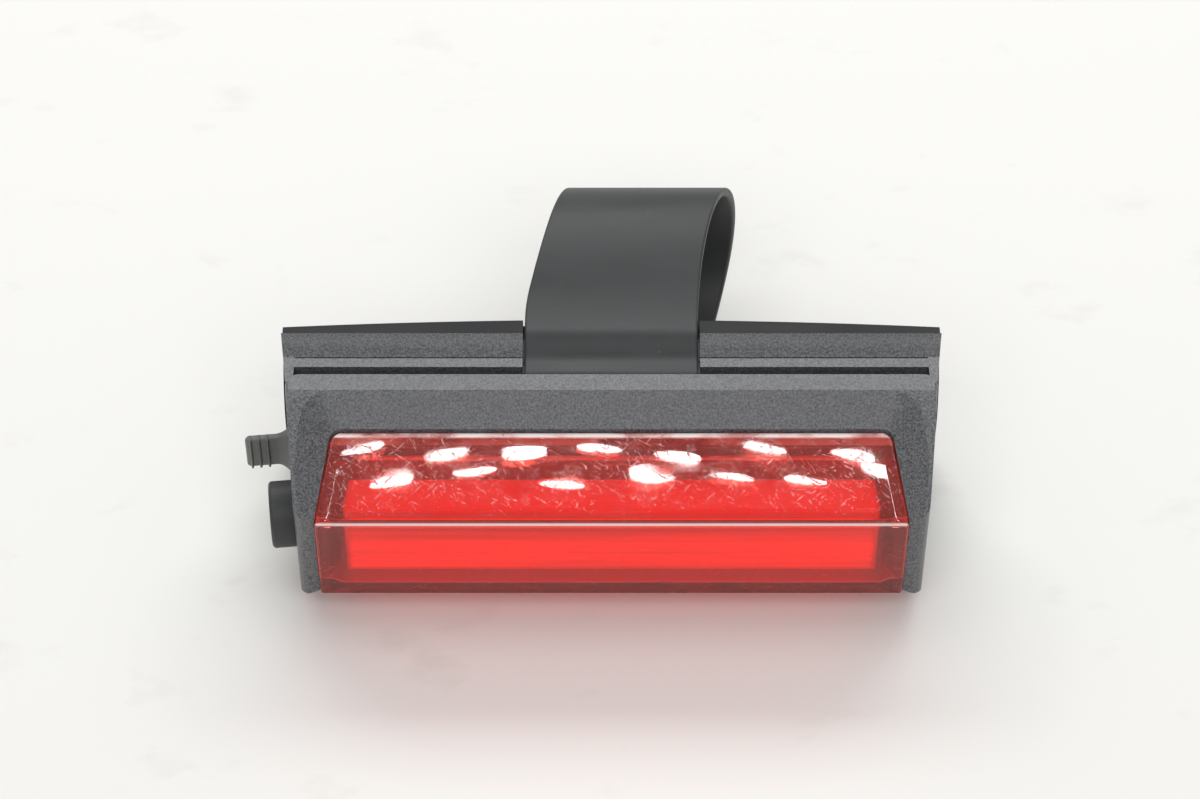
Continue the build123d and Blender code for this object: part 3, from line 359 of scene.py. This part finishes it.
def tray_with_painted_glow():
    """Red pigmented polycarbonate, moulded, with a painted glow: along the bar a red emission stands for
    light let in through the lens, and at the ends and low down the glow fades and it stays a dull red."""
    material = moulded("red_reflector_polycarbonate", "#a8342c", "#bd4034", 0.3, 0.8, 0.01)
    tree = material.node_tree
    add = partial(add_node, tree)
    axes = add("SeparateXYZ", {0: place(add)}).node.outputs
    # Painted glow: red emission along the bar, fading at the ends and low down
    from_middle = add("Math", {0: axes[0], 1: 0.0}, operation="ABSOLUTE")
    along = add("MapRange", {0: from_middle, 1: 40.2, 2: 41.6, 3: 1.0, 4: 0.1})
    low_edge = add("MapRange", {0: axes[2], 1: -7.0, 2: -6.2, 3: 0.2, 4: 1.0})
    painted_glow = add("Math", {0: along, 1: low_edge}, operation="MULTIPLY")
    feed(tree, tree.nodes["Principled BSDF"], {
        "Emission Color": add(
            "Mix", {0: painted_glow, 6: linear("#000000"), 7: linear("#ff1c0c")}, 2, data_type="RGBA"),
        "Emission Strength": 0.55,
    })
    return material


def board_laminate(name, mask, copper):
    """Glass-epoxy laminate under solder mask: thin straight tracks show through as a lighter tone."""
    material, add, surface = new_material(name)
    lines = add("TexBrick", {"Vector": place(add), "Scale": 0.5, "Mortar Size": 0.05}, "Fac")
    surface({
        "Base Color": add("Mix", {0: lines, 6: linear(mask), 7: linear(copper)}, 2, data_type="RGBA"),
        "Normal": add("Bump", {"Height": lines, "Distance": 0.03 / 1000}),
        "Roughness": 0.35,
    })
    return material


def moulded_silicone(name, dark, light, roughness):
    """Silicone rubber from a satin mould: a soft sheen, faint drag marks and specks of dust that cling to it.
    The real satin and dust are under 0.1 mm; they are drawn at 0.5 and 0.8 mm, so that they show."""
    material, add, surface = new_material(name)
    skin = add("TexNoise", {"Vector": place(add), "Scale": 1 / 0.5, "Detail": 4.0, "Roughness": 0.5})
    dragged = place(add, (0.5, 1, 1))
    drag = add("TexNoise", {"Vector": dragged, "Scale": 1 / 6.0, "Detail": 4.0, "Roughness": 0.5})
    dust = add("TexNoise", {"Vector": place(add), "Scale": 1 / 0.8, "Detail": 2.0, "Roughness": 0.5})
    specks = add("MapRange", {0: dust, 1: 0.76, 2: 0.82, 3: 0.0, 4: 0.45})
    tone = add("MapRange", {0: drag, 1: 0.3, 2: 0.7})
    rubber = add("Mix", {0: tone, 6: linear(dark), 7: linear(light)}, 2, data_type="RGBA")
    surface({
        "Base Color": add("Mix", {0: specks, 6: rubber, 7: linear("#8f8e8a")}, 2, data_type="RGBA"),
        "Roughness": add("MapRange", {0: drag, 1: 0.3, 2: 0.7, 3: roughness - 0.06, 4: roughness + 0.06}),
        "Normal": add("Bump", {"Height": skin, "Distance": 0.02 / 1000}),
        "IOR": 1.43,
    })
    return material


polycarbonate = spark_textured_polycarbonate()
lens_plastic = tinted_lens_polycarbonate()
strap_rubber = moulded_silicone("strap_silicone", "#363738", "#404142", 0.48)
pad_rubber = moulded_silicone("pad_silicone", "#17181a", "#1f2022", 0.6)
button_rubber = moulded_silicone("button_silicone", "#38393a", "#424244", 0.5)
cover_rubber = moulded_silicone("cover_silicone", "#6a6b69", "#7a7a78", 0.5)
screw_steel = worked_metal("zinc_plated_steel", "#9fa1a6", "#c9cbce", 0.3, (1, 0.4, 1), 0.5)

finishes = {
    "front_bezel": polycarbonate,
    "rear_housing": polycarbonate,
    "light_guide": red_acrylic_painted_glow(),
    "reflector_tray": tray_with_painted_glow(),
    "led_board": board_laminate("light_board_laminate", "#5a1613", "#7a221c"),
    "led_packages": moulded("emitter_ceramic", "#e3dcc2", "#f1ecd8", 0.35, 0.3, 0.005),
    "heat_spreader": worked_metal("rolled_aluminium_sheet", "#a9abae", "#c6c8cb", 0.32, (0.05, 1, 1), 0.3),
    "inner_chassis": moulded("moulded_black_nylon", "#151516", "#1f1f20", 0.5, 0.4, 0.02),
    "battery_cell": worked_metal("pouch_cell_foil", "#a5a8ad", "#b9bcc0", 0.35, (1, 1, 1), 2.0),
    "battery_foam": moulded("closed_cell_foam", "#1b1b1c", "#2a2a2b", 0.85, 0.25, 0.08),
    "battery_leads": moulded("lead_insulation", "#8c1a16", "#a2221d", 0.4, 0.6, 0.01),
    "main_board": board_laminate("main_board_laminate", "#0f4426", "#2c7345"),
    "board_components": moulded("component_epoxy", "#141415", "#1d1d1e", 0.45, 0.2, 0.01),
    "board_screws": screw_steel,
    "housing_screws": screw_steel,
    "usb_socket_shell": worked_metal("nickel_plated_steel", "#b1b0aa", "#d0cfc9", 0.25, (0.1, 1, 1), 0.3),
    "usb_socket_tongue": moulded("socket_tongue_nylon", "#101011", "#18181a", 0.45, 0.2, 0.01),
    "switch_body": moulded("switch_body_nylon", "#131314", "#1b1b1c", 0.5, 0.2, 0.01),
    "switch_plunger": moulded("switch_plunger_acetal", "#c9c6ba", "#d8d5ca", 0.4, 0.3, 0.005),
    "rear_seal": moulded("seal_silicone", "#6d6b68", "#7b7976", 0.45, 0.5, 0.01),
    "strap_anchor_pin": worked_metal("drawn_stainless_steel", "#a4a5a7", "#c3c4c6", 0.28, (0.05, 1, 1), 0.2),
}
for node, material in finishes.items():
    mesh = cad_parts[node].data
    mesh.materials.clear()
    mesh.materials.append(material)


# Lens

def fold(along, depth):
    """Y and Z on the folded lens. Along is 0 at the mid-plane, 1 at the crease and 2 at the flange's end, and
    negative below; depth is measured in from the outer faces. Straight lines join these, and a quadratic
    Bezier curve, with t from 0 to 1, rounds the crease."""
    side, run = np.sign(along), np.abs(along)
    back_y = LENS_BACK + FLANGE_TAIL
    front = np.stack([LENS_FRONT + depth, np.zeros_like(depth)], -1)
    crease_z = LENS_CREASE + depth * tan(LENS_SLOPE) - depth / cos(LENS_SLOPE)
    crease = np.stack([LENS_FRONT + depth, crease_z], -1)
    back_z = LENS_CREASE + (back_y - LENS_FRONT) * tan(LENS_SLOPE) - depth / cos(LENS_SLOPE)
    back = np.stack([np.full_like(depth, back_y), back_z], -1)
    before, after = (run - 1 + FOLD_NEAR) / (2 * FOLD_NEAR), 0.5 + (run - 1) / (2 * FOLD_FAR)
    t = np.where(run < 1, before, after)[..., None]
    bezier_start = front + (crease - front) * (1 - FOLD_NEAR)
    bezier_end = crease + (back - crease) * FOLD_FAR
    curve = (1 - t) ** 2 * bezier_start + 2 * t * (1 - t) * crease + t**2 * bezier_end
    part = run[..., None]
    straight = np.where(part < 1, front + (crease - front) * part, crease + (back - crease) * (part - 1))
    point = np.where((t > 0) & (t < 1), curve, straight)
    return point[..., 0], point[..., 1] * np.where(side < 0, -1, 1)


def lens_shell():
    """The lens as a closed shell. Its outer face is a grid of x along the light by run along the fold: inside
    the window it lies on the fold, a small radius rounds its border, and the flange round it lies a step
    lower. The window's half width narrows towards the back and, at its corners, along a quarter circle. The
    inner face is the same grid, deeper by the wall."""
    edge, step, corner_radius = 0.5, 1.75, 1.9
    half_at_crease, half_at_back, flange_half = 45.14, 43.24, 46.5
    window_wall, flange_wall = 2.0, 2.7
    window_gap = 0.06
    across_count = 61

    # The thin wall stops short of the window's border by a run, and by columns on each side of the middle
    wall_margin, wall_columns = 0.12, 29

    # Runs along the fold, from the mid-plane to the flange's end, and how deep the outer face lies at each
    span = (LENS_BACK + FLANGE_TAIL - LENS_FRONT) / cos(LENS_SLOPE)
    window_end = 1 + (LENS_BACK - window_gap - LENS_FRONT) / cos(LENS_SLOPE) / span
    angle = np.linspace(0, pi / 2, 5)
    crease = 1 + np.concatenate([np.linspace(-FOLD_NEAR, 0, 7)[:-1], np.linspace(0, FOLD_FAR, 7)])
    corner = window_end - corner_radius * (1 - np.sin(np.linspace(0, pi / 2, 9))) / span
    faces_runs = np.concatenate([np.linspace(0, 0.9, 6), crease, np.linspace(1.1, 1.8, 8), corner])
    runs = np.unique(np.round(faces_runs, 6))
    runs = runs[runs < window_end - edge / span]
    runs = np.concatenate([runs, window_end - edge * (1 - np.sin(angle)) / span, [window_end, 2.0]])
    depths = np.zeros_like(runs)
    depths[-7:-2] = edge * (1 - np.cos(angle))
    depths[-2:] = step
    runs = np.concatenate([-runs[::-1], runs[1:]])
    depths = np.concatenate([depths[::-1], depths[1:]])

    # The window's half width at each run
    share = np.clip((np.abs(runs) - 1) / (window_end - 1), 0, 1)
    half = half_at_crease + (half_at_back - half_at_crease) * share
    to_end = np.clip((window_end - np.abs(runs)) * span, 0, corner_radius)
    in_circle = np.clip(corner_radius**2 - (corner_radius - to_end) ** 2, 0, None)
    half = half - (corner_radius - np.sqrt(in_circle))

    # Columns along X: the window, its rounded border and the flange on each side
    inner = np.linspace(-1, 1, across_count)
    side_offsets = np.concatenate([-edge * (1 - np.sin(angle)), [0.0]])
    side_depths = np.concatenate([edge * (1 - np.cos(angle)), [step]])
    rows, columns = len(runs), len(inner) + 2 * (len(side_offsets) + 1)
    n = len(side_offsets)
    x = np.empty((rows, columns))
    x[:, n + 1:-n - 1] = inner[None, :] * (half[:, None] - edge)
    x[:, -n - 1:-1] = half[:, None] + side_offsets[None, :]
    x[:, 1:n + 1] = -(half[:, None] + side_offsets[None, ::-1])
    x[:, -1] = flange_half
    x[:, 0] = -flange_half
    across = np.zeros(columns)
    across[-n - 1:-1] = side_depths
    across[1:n + 1] = side_depths[::-1]
    across[[0, -1]] = step
    depth = np.maximum(depths[:, None], across[None, :])

    # Outer and inner face, joined round their border
    along = np.repeat(runs[:, None], columns, 1)
    y, z = fold(along, depth)
    window_rows = np.abs(runs) < window_end - wall_margin
    window_columns = np.abs(np.arange(columns) - columns // 2) < wall_columns
    window = window_rows[:, None] & window_columns[None, :]
    inner_y, inner_z = fold(along, np.where(window, window_wall, flange_wall))
    outer_face = np.stack([x, y, z], -1).reshape(-1, 3)
    inner_face = np.stack([x, inner_y, inner_z], -1).reshape(-1, 3)
    faces = quads(rows, columns)
    count = rows * columns
    border = np.concatenate([
        np.arange(columns - 1),
        columns * np.arange(1, rows) - 1,
        count - 1 - np.arange(columns - 1),
        columns * np.arange(rows - 1, 0, -1),
    ])
    following = np.roll(border, -1)
    rim = np.stack([following, border, border + count, following + count], -1)
    all_faces = faces.tolist() + (faces[:, ::-1] + count).tolist() + rim.tolist()
    return np.concatenate([outer_face, inner_face]), all_faces


lens_cover = make_piece("folded_lens", [lens_shell()], lens_plastic, 50)
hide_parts("lens")
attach(lens_cover, "light_body")


# Rubber strap, in one piece from lip to lip

def strap_lean(y, left):
    """How far an edge of the strap leans along X at a station. The right edge is one arc that leaves the
    notch straight and reaches the lean at the loop's back; the left edge bends a little further back, through
    a shorter arc, into a straight slant that reaches the same."""
    lean, later, radius = 7.5, 6.5, 30.0
    bend = HOUSING_BACK + later
    slope = lean / (LOOP_BACK - bend)
    start = bend - radius * tan(atan2(slope, 1) / 2)
    run = np.clip(y - start, 0, radius * sin(atan2(slope, 1)))
    slant = np.maximum(radius - np.sqrt(radius**2 - run**2), slope * (y - bend))
    reach = LOOP_BACK - HOUSING_BACK
    wide = (reach**2 + lean**2) / (2 * lean)
    arc = wide - np.sqrt(wide**2 - np.clip(y - HOUSING_BACK, 0, reach) ** 2)
    return np.where(left, slant, arc)


def strap_path():
    """The strap's outer face seen from the side: lip, ledge, step up the wing, an S-shaped rise to the top of
    the loop, a half circle round its back, and straight back under to the lower lip. The rise is two halves
    of a parabola. The path is cut in even steps, and each point is softened over its neighbours."""
    lip_y, lip_end = -15.6, 9.4
    loop_y, loop_radius, loop_middle, climb = 14.1, 16.9, 1.7, 3.4
    step, neighbours = 0.4, 3
    run = np.linspace(0, 1, 40)
    rise = np.where(run < 0.5, 2 * run**2, 1 - 2 * (1 - run) ** 2)
    upper = np.stack([HOUSING_BACK + (loop_y - HOUSING_BACK) * run, HALF_HEIGHT + climb * rise], -1)
    turn = np.linspace(pi / 2, -pi / 2, 90)
    bend = np.stack([loop_y + loop_radius * np.cos(turn), loop_middle + loop_radius * np.sin(turn)], -1)
    head = [(lip_y, lip_end), (lip_y, LEDGE_HEIGHT), (LEDGE_BACK, LEDGE_HEIGHT)]
    tail = [(HOUSING_BACK, -HALF_HEIGHT)] + [(y, -z) for y, z in reversed(head)]
    return soften(resample(np.concatenate([head, upper, bend, tail]), step), neighbours)


def strap_shell():
    """A strip 27.2 by 1.4 mm with rounded edges, carried along the strap's path: each ring stands square to
    the path, and its two edges lean with its station."""
    half_width, half_thickness, edge = 13.6, 0.7, 0.45
    outer = strap_path()
    tangent = np.gradient(outer, axis=0)
    tangent /= np.linalg.norm(tangent, axis=1)[:, None]
    inward = np.stack([tangent[:, 1], -tangent[:, 0]], -1)
    centre = outer + half_thickness * inward
    ring = rounded_ring(half_width, half_thickness, edge)
    points = centre[:, None, :] + ring[None, :, 1, None] * inward[:, None, :]
    x = ring[None, :, 0] + strap_lean(points[..., 0], ring[None, :, 0] < 0)
    return closed_tube(np.concatenate([x[..., None], points], -1))


strap_band = make_piece("strap_band", [strap_shell()], strap_rubber, 60)
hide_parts("strap", "strap_free_end")
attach(strap_band, "light_body")

# The band is taken off its parent, and its placement is baked into its mesh
strap_band.parent = None
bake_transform(strap_band)


# Rubber pad in the saddle groove

def pad_shell():
    """The pad's section carried along X. The section is the groove's arc, a lip at each side with a rounded
    back corner, and the arc of the pad's outer face; the lips' back edge bows along an arc, and they step
    down where the strap passes."""
    half_length, notch_half = 51.65, 13.9
    top_in_notch, top_beside = 13.7, 15.0
    bow, lip, corner, glue_gap = 1.6, 1.7, 0.35, 0.05
    outer_radius = 15.05
    beside_count, notch_count = 40, 30
    stations = np.concatenate([
        np.linspace(-half_length, -notch_half, beside_count),
        np.linspace(-notch_half, notch_half, notch_count),
        np.linspace(notch_half, half_length, beside_count)])
    notch = np.zeros(len(stations), bool)
    notch[beside_count:beside_count + notch_count] = True
    top = np.where(notch, top_in_notch, top_beside)
    bow_radius = (half_length**2 + bow**2) / (2 * bow)
    back = HOUSING_BACK + lip + np.sqrt(bow_radius**2 - stations**2) - (bow_radius - bow)
    lip_start = HOUSING_BACK + glue_gap
    sweep_in = np.linspace(1, -1, 41)
    inner_angle = np.arccos(-back / POST_RADIUS)[:, None] * sweep_in[None, :]
    inner = np.stack([-POST_RADIUS * np.cos(inner_angle), POST_RADIUS * np.sin(inner_angle)], -1)
    outer_angle = np.arccos(-lip_start / outer_radius) * -sweep_in
    outer = np.stack([-outer_radius * np.cos(outer_angle), outer_radius * np.sin(outer_angle)], -1)
    outer = np.repeat(outer[None], len(stations), 0)
    turn = np.linspace(0, pi / 2, 4)

    def corners(side):
        """A lip's corners from the groove out: a rounded one at its back, and a square one on the housing."""
        rounded = np.stack([
            np.repeat(back[:, None] - corner, 4, 1) + corner * np.cos(turn),
            side * (top[:, None] - corner + corner * np.sin(turn)[None, :])], -1)
        square = np.stack([np.full((len(stations), 1), lip_start), side * top[:, None]], -1)
        return np.concatenate([rounded, square], 1)

    section = np.concatenate([inner, corners(-1), outer, corners(1)[:, ::-1]], 1)
    x = np.repeat(stations[:, None], section.shape[1], 1)
    return closed_tube(np.concatenate([x[..., None], section], -1), flat_ends=True)


pad = make_piece("groove_pad", [pad_shell()], pad_rubber, 40)
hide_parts("mount_pad")
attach(pad, "light_body")


# Pieces on the leaning left end: local axes run back along the wall, across the light, and out of the wall

def end_frame(y):
    """Origin, along, across and outward directions on the left end's face at a station."""
    length = sqrt(1 + END_LEAN**2)
    origin = np.array([-(HALF_LENGTH - END_LEAN * (BEZEL_BACK - y)), y, 0])
    along = np.array([-END_LEAN, 1, 0]) / length
    out = np.array([-1, -END_LEAN, 0]) / length
    return origin, along, np.array([0, 0, 1.0]), out


def on_end(y, local):
    """Local points carried to the end's face: each coordinate times its direction, added to the origin."""
    origin, along, across, out = end_frame(y)
    return origin + local[..., 0:1] * along + local[..., 1:2] * across + local[..., 2:3] * out


def lathe(y, profile, around=64):
    """A profile of radius and height turned about the outward direction at a station."""
    turn = np.linspace(0, 2 * pi, around, endpoint=False)
    radius, height = profile[:, 0, None], profile[:, 1, None]
    local = np.stack([radius * np.cos(turn), radius * np.sin(turn), height + 0 * turn], -1)
    return closed_tube(on_end(y, local))


def button_profile():
    """From the dish's middle out: shallow spherical dish, flat ring, rounded edge, straight side, flange."""
    middle, dish_radius, dish_depth = 0.05, 3.6, 0.35
    radius, reach, edge_radius = 5.2, 3.8, 0.6
    flange_radius, flange_top, flange_base = 6.0, -3.24, -3.96
    dish = np.linspace(middle, dish_radius, 12)
    ball = (dish_radius**2 + dish_depth**2) / (2 * dish_depth)
    bowl = np.stack([dish, reach - dish_depth + ball - np.sqrt(ball**2 - dish**2)], -1)
    turn = np.linspace(pi / 2, 0, 8)
    edge = np.stack([radius - edge_radius + edge_radius * np.cos(turn),
                     reach - edge_radius + edge_radius * np.sin(turn)], -1)
    side = [(radius, height) for height in (2.4, 1.4, 0.4, flange_top)]
    flange = [(flange_radius, flange_top), (flange_radius, flange_base), (middle, flange_base)]
    return np.concatenate([bowl, edge, side, flange])


button_cap = make_piece("button_cap", [lathe(BUTTON_Y, button_profile())], button_rubber, 45)
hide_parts("power_button")
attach(button_cap, "power_button")


def stacked_rings(y, half_along, half_across, corner, levels):
    """A closed shell of rounded rectangles on the end's face, one at each height, drawn in by its inset."""
    rings = []
    for height, inset in levels:
        ring = rounded_ring(half_along - inset, half_across - inset, corner)
        rings.append(np.concatenate([ring, np.full((len(ring), 1), height)], 1))
    return closed_tube(on_end(y, np.array(rings)))


def pull_tab():
    """The tab's section, a rounded rectangle, carried outwards. Its half width and its front face widen
    towards the root by the square of the way, its tip rounds off along a quarter ellipse, and three ribs,
    each half an ellipse, stand on its front side."""
    root, length, flare_length = -0.2, 7.1, 2.6
    tip_start, tip_length, tip_least = 6.3, 0.8, 0.02
    rib_half, rib_height, rib_overhang, rib_centres = 0.22, 0.5, 0.15, (6.3, 4.95, 3.6)
    half_across, root_widening, tip_share = 3.1, 1.9, 0.14
    back_thickness, front_thickness, root_thickening = 0.85, 0.62, 1.5
    tab_middle = 3.25
    out = np.linspace(root, length, 120)
    flare = np.clip(1 - (out - root) / flare_length, 0, 1) ** 2
    tip_run = np.clip(out - tip_start, 0, tip_length) / tip_length
    tip = np.sqrt(np.clip(1 - tip_run**2, tip_least, 1))
    ribs = sum(np.clip(1 - ((out - centre) / rib_half) ** 2, 0, 1) ** 0.5 for centre in rib_centres)
    half_width = (half_across + root_widening * flare) * (1 - tip_share + tip_share * tip)
    back_side = back_thickness * tip
    front_side = front_thickness * tip + root_thickening * flare + rib_height * ribs * tip
    ring = rounded_ring(1, 1, 0.45, 8)
    middle = tab_middle + (back_side - front_side) / 2
    half_thick = (back_side + front_side) / 2
    local = np.stack([
        middle[:, None] + ring[None, :, 0] * half_thick[:, None],
        ring[None, :, 1] * (half_width + rib_overhang * ribs)[:, None],
        np.repeat(out[:, None], len(ring), 1)], -1)
    return closed_tube(on_end(COVER_Y, local))


# The port cover: a plate with a soft edge, a plug behind it in the port, and the pull tab
cover_plate = stacked_rings(
    COVER_Y, 4.2, 5.7, 1.0, [(-0.9, 0.0), (-0.15, 0.0), (-0.06, 0.04), (-0.01, 0.13), (0.0, 0.3)])
cover_plug = stacked_rings(PORT_Y, 1.75, 4.65, 1.3, [(-1.6, 0.25), (-1.45, 0.0), (-0.85, 0.0)])
port_cover = make_piece("port_cover", [cover_plate, cover_plug, pull_tab()], cover_rubber, 50)
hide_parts("usb_cover")
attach(port_cover, "usb_cover")


# Floor, lamps and camera, in metres

def matt_white_board():
    """A sheet of matt white board: faint grey scuffs."""
    material, add, surface = new_material("matt_white_board")
    rubbed = place(add, (1, 1.5, 1))
    marks = add("TexNoise", {"Vector": rubbed, "Scale": 1 / 22.0, "Detail": 5.0, "Roughness": 0.6})
    marks = add("MapRange", {0: marks, 1: 0.6, 2: 0.75, 3: 0.0, 4: 0.35})
    surface({
        "Base Color": add("Mix", {0: marks, 6: linear("#f7f6f2"), 7: linear("#dcdad4")}, 2, data_type="RGBA"),
        "Roughness": 0.7,
    })
    return material


floor_half, floor_level = 3.0, -HALF_HEIGHT / 1000
floor_mesh = bpy.data.meshes.new("floor")
floor_mesh.from_pydata(
    [(x * floor_half, y * floor_half, floor_level) for x, y in ((-1, -1), (1, -1), (1, 1), (-1, 1))],
    [], [(0, 1, 2, 3)])
floor_mesh.materials.append(matt_white_board())
floor = bpy.data.objects.new("floor", floor_mesh)
bpy.context.scene.collection.objects.link(floor)


def area_lamp(name, location, width, height, radiance, shape="RECTANGLE"):
    """An area lamp that faces the light's middle; its power is radiance times pi times width times height."""
    data = bpy.data.lights.new(name, "AREA")
    data.shape = shape
    data.size, data.size_y = width, height
    data.energy = radiance * pi * width * height
    lamp = bpy.data.objects.new(name, data)
    lamp.location = location
    lamp.rotation_euler = (Vector() - Vector(location)).to_track_quat("-Z", "Y").to_euler()
    bpy.context.scene.collection.objects.link(lamp)


# The rear bank shows as sheen on the level faces, the overhead bank on the bevels, and the front fill lights
# the front faces
area_lamp("rear_bank", (0.0, 0.655, 0.688), 1.3, 0.3, 4.5)
area_lamp("overhead_bank", (0.0, 0.14, 1.19), 1.2, 0.38, 1.2)
area_lamp("front_fill", (0.0, -0.75, 0.9), 1.2, 0.6, 2.1)

# Small oval lamps in two wavy rows, which show as white ovals in the lens's upper face
spot_count, spot_spacing, row_spacing, spot_height = 15, 0.0225, 0.0145, 1.21
for k in range(spot_count):
    spot_x = spot_spacing * (k - spot_count // 2) + 0.004 * sin(2.6 * k)
    spot_y = 0.469 + row_spacing * (k % 2) + 0.003 * sin(1.9 * k)
    area_lamp(f"ceiling_spot_{k + 1}", (spot_x, spot_y, spot_height), 0.025, 0.0062, 24.0, "ELLIPSE")

# A pale, nearly neutral world: what the room's walls give
world = bpy.data.worlds.new("studio")
world.use_nodes = True
bpy.context.scene.world = world
background = world.node_tree.nodes["Background"]
background.inputs["Color"].default_value = linear("#f4f5f6")
background.inputs["Strength"].default_value = 0.38

# The camera stands in front; its tilt, in degrees from straight down, was fitted to the photograph
camera_tilt = 42.5
camera_data = bpy.data.cameras.new("camera")
camera_data.sensor_width = 36.0
camera_data.lens = 98.43
camera_data.clip_start = 0.01
camera = bpy.data.objects.new("camera", camera_data)
camera.location = (-0.001767, -0.36403, 0.38778)
camera.rotation_euler = (radians(camera_tilt), 0, 0)
bpy.context.scene.collection.objects.link(camera)
bpy.context.scene.camera = camera

bpy.context.scene.view_settings.view_transform = "Standard"
